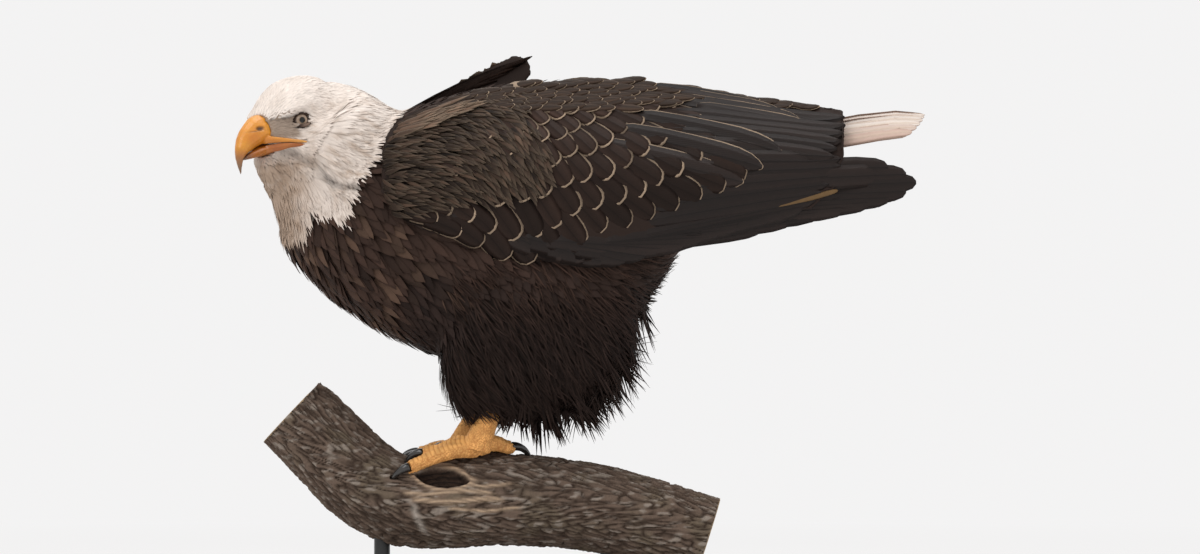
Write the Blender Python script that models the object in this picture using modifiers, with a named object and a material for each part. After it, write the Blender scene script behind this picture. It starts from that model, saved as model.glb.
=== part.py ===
"""Bald eagle on a cut limb, on a plain display stand.

The bird faces -X and its left side faces -Y. The origin is under the middle of the stand's base, below the feet.
Sizes are in millimetres in the tables and become metres where a point is made.
"""

import math

import bmesh
import bpy
import numpy as np
from mathutils import Euler, Matrix, Vector

MM = 0.001
GAP = 0.3  # clearance between neighbouring solids

# Driving sizes of the bird, in millimetres.
BILL_ROOT = (-221.0, -52.0, 541.8)  # where the forehead feathers meet the ridge of the bill
HEAD_YAW, HEAD_PITCH, HEAD_ROLL = 50.0, 5.0, 6.0  # degrees: turned to the left, bill down, left side up
EYE_RADIUS = 10.0
EYE_FRONT = (-31.5, 31.4, -11.8)  # in the head's frame: forward, left, up from the bill's root
EYE_LOOK = 27.0  # degrees that the eyes look forward from straight sideways
TARSUS_RADIUS = 11.5
TOE_RADIUS = 7.5

# About how many triangles each blended form keeps before its neighbours are cut out of it.
HEAD_TRIANGLES, NECK_TRIANGLES, TRUNK_TRIANGLES, FOOT_TRIANGLES = 480, 220, 370, 330

# Head sections: distance forward of the bill's root, top, bottom, half width, squareness.
HEAD_SECTIONS = [
    (3, -3, -39, 12.5, 2.0),
    (-4, 4, -44, 18.5, 2.2),
    (-14, 13, -49, 25, 2.4),
    (-26, 22, -53, 30, 2.4),
    (-42, 31, -57, 35, 2.4),
    (-60, 34.5, -60, 39.5, 2.3),
    (-78, 33, -60, 40, 2.2),
    (-94, 25, -55, 35, 2.1),
    (-106, 10, -44, 24, 2.0),
]

# Where long feathers round off the form, behind the crown and under the chin: middle, half axes, turn in degrees.
FEATHER_FILLS = [
    ("nape", (-128, 10, 551), (49, 34, 18), (0, 23, -24)),
    ("throat", (-208, -34, 487), (14, 25, 26), (0, -25, 0)),
]

# Neck sections: back edge (x, z), throat edge (x, z), half width, middle y.
NECK_SECTIONS = [
    ((-124, 560), (-214, 478), 38, -10),
    ((-112, 560), (-217, 470), 47, -8),
    ((-98, 555), (-211, 459), 54, -5),
    ((-84, 546), (-204, 443), 58, -2),
    ((-68, 536), (-196, 423), 62, 0),
    ((-40, 520), (-184, 400), 64, 0),
]

# Trunk sections: x, top, bottom, half width.
TRUNK_SECTIONS = [
    (-199, 436, 414, 12),
    (-190, 455, 398, 28),
    (-172, 480, 378, 46),
    (-145, 507, 354, 64),
    (-110, 531, 330, 79),
    (-60, 552, 306, 88),
    (0, 568, 292, 92),
    (60, 576, 290, 91),
    (115, 577, 292, 85),
    (140, 575, 302, 79),
    (160, 573, 334, 73),
    (178, 570, 384, 68),
    (204, 566, 409, 60),
    (250, 558, 426, 50),
    (300, 548, 458, 36),
    (340, 540, 486, 22),
]

# Folded wing sections: x, top, bottom, distance from the middle plane at the top edge, the middle and the bottom edge.
WING_SECTIONS = [
    (-97, 505, 462, 84, 90, 84),
    (-90, 526, 444, 74, 96, 88),
    (-72, 541, 430, 64, 100, 92),
    (-40, 556, 416, 52, 104, 95),
    (20, 571, 406, 40, 106, 97),
    (80, 577, 396, 32, 105, 95),
    (130, 577, 392, 26, 100, 90),
    (180, 573, 404, 19, 92, 83),
    (230, 566, 420, 12, 83, 75),
    (280, 558, 436, 7, 73, 67),
    (330, 552, 448, 6, 64, 61),
    (352, 550, 466, 10, 61, 60),
    (364, 547, 500, 20, 58, 58),
]
WING_THICKNESS = 9.0
# The right shoulder's long feathers are lifted: x, top, bottom, distance from the middle plane.
SHOULDER_LOCK = [
    (-88, 526, 512, 62),
    (-60, 553, 535, 54),
    (-25, 576, 545, 47),
    (10, 594, 555, 42),
    (34, 605, 566, 39),
    (46, 601, 576, 38),
    (52, 592, 583, 38),
]
SHOULDER_LOCK_THICKNESS = 9.0

# Folded primaries: x, top, bottom, distance from the middle plane.
PRIMARY_SECTIONS = [
    (150, 470, 430, 78),
    (200, 484, 424, 70),
    (260, 496, 430, 61),
    (320, 504, 442, 54),
    (365, 504, 450, 51),
    (395, 494, 452, 50),
    (415, 488, 457, 49),
    (428, 482, 464, 48.5),
    (434, 476, 470, 48.5),
]
PRIMARY_THICKNESS = 4.5

# Tail sections: x at the middle, ridge height, half width, drop of the edges, thickness.
TAIL_SECTIONS = [
    (262, 520, 22, 10, 9),
    (300, 529, 30, 22, 8),
    (340, 537, 37, 31, 6.5),
    (380, 544, 44, 30, 5),
    (415, 547, 50, 26, 4),
    (438, 545, 52, 22, 3),
    (446, 544, 51, 20, 2.4),
]
TAIL_ROUNDING = 16.0  # how much shorter the outer tail feathers end

# Thigh sections from the top down: z, middle x, half length, middle y, half width.
THIGH_SECTIONS = [
    (424, 66, 46, 42, 30),
    (400, 62, 78, 46, 42),
    (360, 58, 97, 46, 46),
    (318, 55, 96, 44, 43),
    (290, 50, 90, 41, 38),
    (270, 42, 78, 37, 31),
    (255, 31, 60, 32, 25),
    (245, 20, 40, 29, 18),
]
FAR_THIGH_SHIFT = -3.0  # the right leg stands a little ahead of the left one

# Limb centreline: x, y, z, radius.
LIMB_SECTIONS = [
    (-189, 10, 245, 43),
    (-162, 8, 218, 44),
    (-128, 5, 184, 45),
    (-90, 2, 160, 46),
    (-40, 0, 156, 47),
    (20, 0, 157, 46.5),
    (80, -1, 154, 46),
    (140, -3, 144, 45),
    (200, -6, 128, 44),
    (228, -8, 119, 43),
]

# Feet: where each stands on the limb (x, degrees round it towards the bird's left), and the leg's top (x, y, z).
FEET = {
    "left": {"stand": (-1, 26), "leg_top": (17, -30, 262)},
    "right": {"stand": (-20, -28), "leg_top": (9, 28, 262)},
}
# Toes: end along x from the foot, degrees round the limb from the foot, claw length. The first is the hind toe.
TOES = {
    "left": [(34, -16, 33), (-40, -22, 28), (-58, 1, 27), (-76, 25, 29)],
    "right": [(30, 6, 33), (-46, 0, 30), (-58, -34, 28), (-32, -64, 25)],
}

# Stand.
BASE_SIZE = (440.0, 250.0, 22.0)
ROD_PLACES = (-98.0, 128.0)
ROD_RADIUS = 8.0
FLANGE_RADIUS, FLANGE_HEIGHT = 19.0, 4.0
ROD_IN_LIMB = 30.0

COLOURS = {
    "head_feathers": ((0.78, 0.74, 0.68), 0.8),
    "body_feathers": ((0.045, 0.03, 0.022), 0.75),
    "flight_feathers": ((0.02, 0.016, 0.014), 0.6),
    "tail_feathers": ((0.8, 0.77, 0.72), 0.75),
    "bill_horn": ((0.75, 0.33, 0.04), 0.35),
    "leg_skin": ((0.72, 0.34, 0.06), 0.5),
    "talon_horn": ((0.015, 0.013, 0.012), 0.25),
    "eye": ((0.65, 0.55, 0.3), 0.05),
    "bark": ((0.16, 0.12, 0.09), 0.9),
    "stand_wood": ((0.03, 0.028, 0.026), 0.4),
    "stand_metal": ((0.05, 0.05, 0.05), 0.35),
}


def clear_scene():
    for thing in list(bpy.data.objects):
        bpy.data.objects.remove(thing, do_unlink=True)


def make_materials():
    made = {}
    for name, (colour, roughness) in COLOURS.items():
        material = bpy.data.materials.new(name)
        material.use_nodes = True
        shader = material.node_tree.nodes["Principled BSDF"]
        shader.inputs["Base Color"].default_value = (*colour, 1.0)
        shader.inputs["Roughness"].default_value = roughness
        made[name] = material
    return made


def mesh_object(name, bm, collection, material=None):
    """Makes the bmesh an object, its faces pointing out and in triangles, so that a cutter's copy has the same ones."""
    bmesh.ops.recalc_face_normals(bm, faces=bm.faces[:])
    bmesh.ops.triangulate(bm, faces=bm.faces[:])
    mesh = bpy.data.meshes.new(name)
    bm.to_mesh(mesh)
    bm.free()
    if material:
        mesh.materials.append(material)
    obj = bpy.data.objects.new(name, mesh)
    collection.objects.link(obj)
    return obj


def smooth_table(rows, xs):
    """The columns of a table read at xs along a smooth curve through its rows. The first column is the position."""
    table = np.array(rows, float)
    at, values = table[:, 0], table[:, 1:]
    slope = np.gradient(values, at, axis=0)
    out = []
    for x in xs:
        i = int(np.clip(np.searchsorted(at, x) - 1, 0, len(at) - 2))
        width = at[i + 1] - at[i]
        t = (x - at[i]) / width
        start = (2 * t**3 - 3 * t**2 + 1) * values[i] + (t**3 - 2 * t**2 + t) * width * slope[i]
        end = (3 * t**2 - 2 * t**3) * values[i + 1] + (t**3 - t**2) * width * slope[i + 1]
        out.append(start + end)
    return np.array(out)


def oval(middle, side, up, half_width, rise, drop, squareness, count):
    """A ring of points: half_width along side, rise above and drop below the middle."""
    points = []
    for i in range(count):
        angle = 2 * math.pi * i / count
        c, s = math.cos(angle), math.sin(angle)
        across = half_width * math.copysign(abs(c) ** (2 / squareness), c)
        height = (rise if s > 0 else drop) * math.copysign(abs(s) ** (2 / squareness), s)
        points.append(Vector(middle) + Vector(side) * across + Vector(up) * height)
    return points


def loft(name, rings, collection, material=None):
    """A closed solid through rings of equal count, in millimetres, with flat ends."""
    bm = bmesh.new()
    rows = [[bm.verts.new(Vector(p) * MM) for p in ring] for ring in rings]
    for a, b in zip(rows, rows[1:]):
        for i in range(len(a)):
            j = (i + 1) % len(a)
            bm.faces.new((a[i], a[j], b[j], b[i]))
    bm.faces.new(rows[0][::-1])
    bm.faces.new(rows[-1])
    return mesh_object(name, bm, collection, material)


def applied(obj):
    """Turns the object's modifiers into plain mesh."""
    mesh = bpy.data.meshes.new_from_object(obj.evaluated_get(bpy.context.evaluated_depsgraph_get()))
    obj.modifiers.clear()
    obj.data = mesh
    return obj


def boolean(obj, other, operation, keep_other=False, crosses_itself=False):
    change = obj.modifiers.new(operation, "BOOLEAN")
    change.operation = operation
    change.object = other
    change.use_self = crosses_itself
    bpy.context.view_layer.update()
    applied(obj)
    if not keep_other:
        bpy.data.objects.remove(other, do_unlink=True)
    return obj


def joined(objects):
    """One solid from several that overlap."""
    first = objects[0]
    for other in objects[1:]:
        boolean(first, other, "UNION")
    return first


def make_room(obj, neighbours):
    """Cuts each neighbour out of obj, with the clearance round it. A grown neighbour may cross itself in its creases."""
    for neighbour in neighbours:
        grown = neighbour.copy()
        grown.data = neighbour.data.copy()
        obj.users_collection[0].objects.link(grown)
        swell = grown.modifiers.new("clearance", "DISPLACE")
        swell.strength = GAP * MM
        swell.mid_level = 0.0
        applied(grown)
        boolean(obj, grown, "DIFFERENCE", crosses_itself=True)


def keep_side(obj, point, normal):
    """Cuts obj with a plane and keeps the part that the normal points to, closed flat."""
    bm = bmesh.new()
    bm.from_mesh(obj.data)
    geometry = bm.verts[:] + bm.edges[:] + bm.faces[:]
    bmesh.ops.bisect_plane(
        bm, geom=geometry, dist=1e-7, plane_co=Vector(point) * MM, plane_no=Vector(normal), clear_inner=True
    )
    rim = [e for e in bm.edges if e.is_boundary]
    bmesh.ops.holes_fill(bm, edges=rim, sides=0)
    bm.to_mesh(obj.data)
    bm.free()
    return obj


def without_slivers(obj):
    """Keeps the largest body of obj, where cuts have left thin scraps beside it."""
    bm = bmesh.new()
    bm.from_mesh(obj.data)
    bodies, left = [], set(bm.faces)
    while left:
        body, front = [], [left.pop()]
        while front:
            face = front.pop()
            body.append(face)
            for edge in face.edges:
                for other in edge.link_faces:
                    if len(edge.link_faces) == 2 and other in left:
                        left.discard(other)
                        front.append(other)
        bodies.append(body)
    bodies.sort(key=len)
    bmesh.ops.delete(bm, geom=[face for body in bodies[:-1] for face in body], context="FACES")
    bm.to_mesh(obj.data)
    bm.free()
    return obj


def copy_of(obj, name):
    twin = obj.copy()
    twin.data = obj.data.copy()
    twin.name = name
    obj.users_collection[0].objects.link(twin)
    return twin


def simplify(obj, triangles):
    """Thins the mesh to about that many triangles."""
    now = sum(len(face.vertices) - 2 for face in obj.data.polygons)
    thin = obj.modifiers.new("simplify", "DECIMATE")
    thin.ratio = min(1.0, triangles / now)
    return applied(obj)


def melt(obj, voxel, smoothing):
    """Remeshes the solid evenly and softens its creases."""
    blend = obj.modifiers.new("blend", "REMESH")
    blend.mode = "VOXEL"
    blend.voxel_size = voxel * MM
    soften = obj.modifiers.new("soften", "SMOOTH")
    soften.factor = 0.5
    soften.iterations = smoothing
    return applied(obj)


def ellipsoid(name, middle, radii, turn, collection):
    bm = bmesh.new()
    bmesh.ops.create_uvsphere(bm, u_segments=20, v_segments=12, radius=1.0)
    size = Matrix.Diagonal((radii[0] * MM, radii[1] * MM, radii[2] * MM, 1.0))
    bm.transform(Matrix.Translation(Vector(middle) * MM) @ turn.to_4x4() @ size)
    return mesh_object(name, bm, collection)


# ---------------------------------------------------------------- head frame


def head_axes():
    """Forward, left and up of the head in the world."""
    yaw, pitch, roll = (math.radians(a) for a in (HEAD_YAW, HEAD_PITCH, HEAD_ROLL))
    forward = Vector((-math.cos(yaw) * math.cos(pitch), -math.sin(yaw) * math.cos(pitch), -math.sin(pitch)))
    left = Vector((math.sin(yaw), -math.cos(yaw), 0.0))
    up = forward.cross(left) * -1.0
    if up.z < 0:
        up.negate()
    return (
        forward,
        left * math.cos(roll) + up * math.sin(roll),
        up * math.cos(roll) - left * math.sin(roll),
    )


FORWARD, LEFT, UP = head_axes()
HEAD_TURN = Matrix((FORWARD, LEFT, UP)).transposed()


def head_point(a, b, c):
    return Vector(BILL_ROOT) + FORWARD * a + LEFT * b + UP * c


# ---------------------------------------------------------------- flesh


def head_form(collection):
    """The cranium with brows, cheeks and the hollows in front of the eyes."""
    rings = []
    for a, top, bottom, half_width, squareness in HEAD_SECTIONS:
        widest = bottom + 0.56 * (top - bottom)
        rings.append(
            oval(head_point(a, 0, widest), LEFT, UP, half_width, top - widest, widest - bottom, squareness, 28)
        )
    head = loft("head_form", rings, collection)
    for side in (1, -1):
        brow_turn = HEAD_TURN @ Euler((0.0, math.radians(10), math.radians(-20 * side))).to_matrix()
        brow = ellipsoid("brow", head_point(-28, 27.2 * side, 0.5), (24, 6.8, 5), brow_turn, collection)
        boolean(head, brow, "UNION")
        hollow_turn = HEAD_TURN @ Euler((0.0, math.radians(-8), math.radians(-24 * side))).to_matrix()
        hollow = ellipsoid("hollow", head_point(-19, 34 * side, -14), (19, 11, 8.5), hollow_turn, collection)
        boolean(head, hollow, "DIFFERENCE")
        socket = ellipsoid("socket", head_point(-29.5, 36.6 * side, -12.3), (15, 12, 10), HEAD_TURN, collection)
        boolean(head, socket, "DIFFERENCE")
        cheek = ellipsoid("cheek", head_point(-46, 21 * side, -36), (28, 17, 14), HEAD_TURN, collection)
        boolean(head, cheek, "UNION")
    for name, middle, radii, turn in FEATHER_FILLS:
        turn = Euler([math.radians(a) for a in turn]).to_matrix()
        boolean(head, ellipsoid(name, middle, radii, turn, collection), "UNION")
    return head


def neck_form(collection):
    rings = []
    for back, throat, half_width, middle_y in NECK_SECTIONS:
        back, throat = Vector((back[0], middle_y, back[1])), Vector((throat[0], middle_y, throat[1]))
        half = (back - throat) / 2
        rings.append(
            oval((back + throat) / 2, (0, -1, 0), half.normalized(), half_width, half.length, half.length, 2.1, 28)
        )
    return loft("neck_form", rings, collection)


def trunk_form(collection):
    xs = [-199, -190, -178, -160, -140, -115, -85, -50, -10, 30, 70, 110, 140, 170, 200, 235, 270, 305, 340]
    rings = []
    for x, (top, bottom, half_width) in zip(xs, smooth_table(TRUNK_SECTIONS, xs)):
        widest = bottom + 0.5 * (top - bottom)
        rings.append(
            oval((x, 0, widest), (0, -1, 0), (0, 0, 1), half_width, top - widest, widest - bottom, 2.25, 32)
        )
    return loft("trunk_form", rings, collection)


def core_pieces(collection, materials):
    """Head, neck and trunk, formed whole and parted with thin cuts."""
    head = head_form(collection)
    body = joined([trunk_form(collection), neck_form(collection)])
    whole = joined([body, head])
    melt(whole, 2.6, 2)

    jaw_point, jaw_normal = (-163, 0, 511), Vector((-0.70, 0, 0.714)).normalized()
    collar_point, collar_normal = (-137, 0, 481.5), Vector((-0.716, 0, 0.698)).normalized()
    half_gap = GAP / 2
    head = copy_of(whole, "head")
    neck = copy_of(whole, "neck")
    trunk = whole
    trunk.name = "trunk"
    simplify(keep_side(head, Vector(jaw_point) + jaw_normal * half_gap, jaw_normal), HEAD_TRIANGLES)
    keep_side(neck, Vector(jaw_point) - jaw_normal * half_gap, -jaw_normal)
    simplify(keep_side(neck, Vector(collar_point) + collar_normal * half_gap, collar_normal), NECK_TRIANGLES)
    simplify(keep_side(trunk, Vector(collar_point) - collar_normal * half_gap, -collar_normal), TRUNK_TRIANGLES)
    for piece, name in ((head, "head_feathers"), (neck, "head_feathers"), (trunk, "body_feathers")):
        piece.data.materials.clear()
        piece.data.materials.append(materials[name])
    return head, neck, trunk


def wing(side, collection, material):
    """A folded wing: a curved plate over the flank, thin at its edges. side is -1 on the bird's left, 1 on its right."""
    xs = [-97, -92, -82, -60, -20, 35, 90, 140, 190, 240, 290, 330, 352, 364]
    rings = []
    for x, row in zip(xs, smooth_table(WING_SECTIONS, xs)):
        top, bottom, y_top, y_middle, y_bottom = row
        steps = 7
        bulge = y_middle - (y_top + y_bottom) / 2
        curve = []
        for i in range(steps):
            t = i / (steps - 1)
            spread = y_top * (1 - t) + y_bottom * t + bulge * math.sin(math.pi * t**0.8)
            curve.append(Vector((x, side * spread, top - (top - bottom) * t)))
        inner = []
        for i, point in enumerate(curve):
            t = i / (steps - 1)
            thick = WING_THICKNESS * (0.3 + 0.7 * math.sin(math.pi * t))
            run = curve[min(i + 1, steps - 1)] - curve[max(i - 1, 0)]
            inward = Vector((0, -side * abs(run.z), -abs(run.y))).normalized()
            inner.append(point + inward * thick)
        rings.append(curve + inner[::-1])
    plate = loft("wing_left" if side < 0 else "wing_right", rings, collection, material)
    if side > 0:
        rings = []
        for x, top, bottom, spread in SHOULDER_LOCK:
            half = Vector((0, (top - bottom) * 0.12, (top - bottom) / 2))
            middle = (x, spread + half.y, (top + bottom) / 2)
            thick = SHOULDER_LOCK_THICKNESS / 2 * (0.5 + 0.5 * (52 - x) / 140)
            rings.append(oval(middle, (0, 1, 0), half.normalized(), thick, half.length, half.length, 2.2, 10))
        boolean(plate, loft("shoulder_lock", rings, collection), "UNION")
    return plate


def primaries(side, collection, material):
    xs = [150, 210, 280, 345, 385, 412, 426, 434]
    rings = []
    for x, (top, bottom, spread) in zip(xs, smooth_table(PRIMARY_SECTIONS, xs)):
        taper = 0.45 + 0.55 * (434 - x) / (434 - 150)
        middle = (x, side * (spread - 2.0), (top + bottom) / 2)
        half = (top - bottom) / 2
        rings.append(
            oval(middle, (0, 1, 0), (0, 0, 1), PRIMARY_THICKNESS / 2 * taper, half, half, 2.6, 10)
        )
    name = "wing_left_primaries" if side < 0 else "wing_right_primaries"
    return loft(name, rings, collection, material)


def tail(collection, material):
    """A closed tail: a shallow roof that widens to a rounded end."""
    rings = []
    last = TAIL_SECTIONS[-1][0]
    first = TAIL_SECTIONS[0][0]
    for x, ridge, half_width, drop, thickness in TAIL_SECTIONS:
        upper, lower = [], []
        reach = (x - first) / (last - first)
        for i in range(9):
            across = -1 + 2 * i / 8
            height = ridge - drop * abs(across) ** 1.35
            edge = 1.0 - 0.5 * abs(across) ** 2
            back = x - TAIL_ROUNDING * across**2 * reach**2
            upper.append(Vector((back, across * half_width, height)))
            lower.append(Vector((back, across * (half_width - 0.8), height - thickness * edge)))
        rings.append(upper + lower[::-1])
    return loft("tail", rings, collection, material)


def thigh(side, collection, material):
    rings = []
    shift = FAR_THIGH_SHIFT if side > 0 else 0.0
    for z, x, half_length, y, half_width in THIGH_SECTIONS:
        rings.append(
            oval((x + shift, side * y, z), (1, 0, 0), (0, 1, 0), half_length, half_width, half_width, 2.15, 16)
        )
    name = "thigh_left" if side < 0 else "thigh_right"
    return loft(name, rings, collection, material)


# ---------------------------------------------------------------- bill and eyes

# Upper bill sections: ridge (forward, up), lower edge (forward, up), half width.
UPPER_BILL = [
    ((-3, -1.5), (-4, -30), 13.6),
    ((3, -0.6), (3, -31), 13.6),
    ((10, -3.2), (10, -33), 12.6),
    ((17.5, -7.6), (18, -36), 11.0),
    ((25, -13.2), (24.5, -38.8), 9.2),
    ((31.2, -20.6), (29, -41.6), 7.4),
    ((35.4, -30), (31.6, -45), 5.8),
    ((37.2, -40), (32.8, -48.6), 4.3),
    ((36.8, -49), (33.4, -53.2), 2.4),
    ((35, -58.6), (34.2, -58.0), 0.8),
]
# Lower bill sections: forward, top, bottom, half width.
LOWER_BILL = [
    (-9, -31, -41.4, 15.5),
    (0, -31, -42.2, 13.2),
    (10, -33, -43.2, 10.8),
    (19.5, -36, -44.2, 8.0),
    (26.5, -39.5, -44.6, 5.0),
    (29.5, -41.8, -44.6, 2.4),
]
# The yellow corners of the mouth, as rims that run back from each half of the bill: forward, left, up, radius.
UPPER_GAPE = [
    (5, 8.5, -26.5, 4.8),
    (-3, 15.4, -27.8, 3.5),
    (-13, 23.4, -29.8, 2.3),
    (-23, 30.0, -32.2, 1.8),
    (-31, 34.0, -34.0, 1.0),
]
LOWER_GAPE = [
    (4, 8.4, -36.2, 4.6),
    (-6, 16.8, -35.8, 4.6),
    (-14, 23.4, -35.2, 3.3),
    (-22, 28.8, -35.8, 2.4),
    (-29, 32.6, -36.6, 1.4),
]


def upper_bill(collection, material):
    rings = []
    for ridge, edge, half_width in UPPER_BILL:
        top, bottom = head_point(ridge[0], 0, ridge[1]), head_point(edge[0], 0, edge[1])
        middle, up = top.lerp(bottom, 0.68), (top - bottom)
        rise, drop = up.length * 0.68, up.length * 0.32
        ring = oval(middle, LEFT, up.normalized(), half_width, rise, drop, 2.05, 14)
        rings.append(ring)
    return with_gape(loft("bill_upper", rings, collection, material), UPPER_GAPE, collection)


def with_gape(bill, rim, collection):
    """Joins the rims of the mouth's corners to one half of the bill."""
    for side in (1, -1):
        corner = []
        for a, b, c, radius in rim:
            corner.append(oval(head_point(a, b * side, c), LEFT, UP, radius, radius, radius, 2.0, 6))
        boolean(bill, loft("gape", corner, collection), "UNION")
    return bill


def lower_bill(collection, material):
    rings = []
    for a, top, bottom, half_width in LOWER_BILL:
        middle = head_point(a, 0, top - 0.4 * (top - bottom))
        rings.append(
            oval(middle, LEFT, UP, half_width, 0.4 * (top - bottom), 0.6 * (top - bottom), 2.3, 10)
        )
    return with_gape(loft("bill_lower", rings, collection, material), LOWER_GAPE, collection)


def eye(side, collection, material):
    look = math.radians(EYE_LOOK)
    a, b, c = EYE_FRONT
    middle = head_point(a - EYE_RADIUS * math.sin(look), side * (b - EYE_RADIUS * math.cos(look)), c)
    bm = bmesh.new()
    bmesh.ops.create_uvsphere(bm, u_segments=12, v_segments=8, radius=EYE_RADIUS * MM)
    bm.transform(Matrix.Translation(middle * MM) @ HEAD_TURN.to_4x4())
    name = "eye_left" if side > 0 else "eye_right"
    ball = mesh_object(name, bm, collection, material)
    ball.data.shade_smooth()
    return ball


# ---------------------------------------------------------------- limb, feet and claws


def limb_place(x):
    """Middle, radius and run direction of the limb at x."""
    middle_y, middle_z, radius = smooth_table(LIMB_SECTIONS, [x])[0]
    ahead = smooth_table(LIMB_SECTIONS, [x + 2])[0]
    run = Vector((2, ahead[0] - middle_y, ahead[1] - middle_z)).normalized()
    return Vector((x, middle_y, middle_z)), radius, run


def limb_radius(x, angle, radius):
    """The limb is uneven: slow swells along it and round it."""
    return radius * (
        1
        + 0.022 * math.sin(3 * angle + x / 37)
        + 0.018 * math.sin(2 * angle - x / 61 + 1.0)
        + 0.014 * math.sin(5 * angle + x / 23 + 2.0)
    )


def on_limb(x, degrees, lift):
    """A point at a height above the bark, at x along the limb and an angle round it from its top, left side positive."""
    middle, radius, run = limb_place(x)
    angle = math.radians(degrees)
    side = Vector((0, -1, 0))
    up = run.cross(side)
    if up.z < 0:
        up.negate()
    out = up * math.cos(angle) + side * math.sin(angle)
    return middle + out * (limb_radius(x, angle, radius) + lift), out


def limb(collection, material):
    rings = []
    count = 16
    for x in (-189, -170, -148, -126, -106, -82, -52, -20, 14, 50, 88, 128, 165, 198, 228):
        middle, radius, run = limb_place(x)
        if x <= -108:
            run = run.lerp(Vector((0.74, -0.05, -0.67)), 0.6).normalized()
        side = Vector((0, -1, 0))
        up = run.cross(side)
        if up.z < 0:
            up.negate()
        ring = []
        for i in range(count):
            angle = 2 * math.pi * i / count
            out = up * math.cos(angle) + side * math.sin(angle)
            ring.append(middle + out * limb_radius(x, angle, radius))
        rings.append(ring)
    return loft("perch", rings, collection, material)


def tube(name, points, radii, count, collection, squash=1.0):
    """A round tube through the points, with a radius at each."""
    rings = []
    points = [Vector(p) for p in points]
    up = Vector((0, 0, 1))
    for i, (point, radius) in enumerate(zip(points, radii)):
        run = (points[min(i + 1, len(points) - 1)] - points[max(i - 1, 0)]).normalized()
        side = run.cross(up)
        side = side.normalized() if side.length > 0.2 else run.cross(Vector((0, 1, 0))).normalized()
        over = side.cross(run).normalized()
        rings.append(oval(point, side, over, radius, radius * squash, radius * squash, 2.0, count))
    return loft(name, rings, collection)


def toe_path(side, toe, steps=8):
    """Points along a toe's middle, from the foot to the root of its claw, arched over the knuckle."""
    x0, turn0 = FEET[side]["stand"]
    reach, turn, _ = TOES[side][toe]
    points = []
    for i in range(steps):
        t = i / (steps - 1)
        arch = 5.0 * math.sin(math.pi * min(1.0, t * 1.3)) if t < 0.77 else 0.0
        lift = TOE_RADIUS * (1.25 - 0.42 * t) + arch
        points.append(on_limb(x0 + reach * t, turn0 + turn * t**1.1, lift))
    return points


def foot(side, collection, material):
    """Leg, pad and four toes as one solid."""
    x0, turn0 = FEET[side]["stand"]
    ankle, _ = on_limb(x0, turn0, 13.0)
    top = Vector(FEET[side]["leg_top"])
    leg_points = [ankle - Vector((0, 0, 4)), ankle.lerp(top, 0.2), ankle.lerp(top, 0.55), top]
    leg_radii = [TARSUS_RADIUS + 3, TARSUS_RADIUS + 1.5, TARSUS_RADIUS, TARSUS_RADIUS + 0.5]
    parts = [tube(f"foot_{side}", leg_points, leg_radii, 16, collection)]
    for toe in range(4):
        path = [p for p, _ in toe_path(side, toe)]
        count = len(path)
        radii = []
        for i in range(count):
            t = i / (count - 1)
            swell = 0.9 * math.sin(3 * math.pi * t) ** 2
            radii.append(TOE_RADIUS * (1.2 - 0.42 * t) + swell)
        parts.append(tube("toe", path, radii, 12, collection))
    whole = simplify(melt(joined(parts), 1.3, 2), FOOT_TRIANGLES)
    whole.name = f"foot_{side}"
    whole.data.materials.clear()
    whole.data.materials.append(material)
    return whole


def claw(side, toe, collection, material):
    """A claw that leaves the toe's end, arches up a little and hooks down into the bark."""
    path = toe_path(side, toe)
    end, out = path[-1]
    run = (path[-1][0] - path[-2][0]).normalized()
    length = TOES[side][toe][2]
    bend = math.radians(105)
    arc = length / bend
    points, radii = [], []
    steps = 6
    for i in range(steps):
        t = i / (steps - 1)
        angle = bend * t - math.radians(16)
        start = -math.radians(16)
        forward = arc * (math.sin(angle) - math.sin(start))
        rise = arc * (math.cos(angle) - math.cos(start))
        points.append(end - run * 4 + run * forward + out * (rise + 1.0))
        radii.append(5.4 * (1 - t) ** 0.75 + 0.5)
    piece = tube(f"claw_{side}_{toe + 1}", points, radii, 6, collection)
    piece.data.materials.append(material)
    return piece


# ---------------------------------------------------------------- stand


def stand_base(collection, material):
    length, width, height = (s * MM for s in BASE_SIZE)
    bm = bmesh.new()
    bmesh.ops.create_cube(bm, size=1.0)
    bm.transform(Matrix.Translation((0.0, 0.0, height / 2)) @ Matrix.Diagonal((length, width, height, 1.0)))
    upright = [e for e in bm.edges if abs(e.verts[0].co.z - e.verts[1].co.z) > height / 2]
    bmesh.ops.bevel(bm, geom=upright, offset=0.036, segments=5, profile=0.5, affect="EDGES")
    rim = [e for e in bm.edges if min(v.co.z for v in e.verts) > height * 0.99]
    rim = [e for e in rim if e.calc_face_angle(0.0) > 0.5]
    bmesh.ops.bevel(bm, geom=rim, offset=0.005, segments=2, profile=0.5, affect="EDGES")
    return mesh_object("stand_base", bm, collection, material)


def stand_rod(name, x, collection, material):
    """A turned rod with a flange that stands on the base and a top let into the limb."""
    middle, radius, _ = limb_place(x)
    foot_z = BASE_SIZE[2] + GAP
    top_z = middle.z - radius + ROD_IN_LIMB
    profile = [
        (FLANGE_RADIUS, foot_z),
        (FLANGE_RADIUS, foot_z + FLANGE_HEIGHT - 1),
        (FLANGE_RADIUS - 1, foot_z + FLANGE_HEIGHT),
        (ROD_RADIUS, foot_z + FLANGE_HEIGHT),
        (ROD_RADIUS, top_z),
    ]
    rings = []
    for r, z in profile:
        rings.append(oval((x, middle.y, z), (1, 0, 0), (0, 1, 0), r, r, r, 2.0, 14))
    return loft(name, rings, collection, material)


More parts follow.
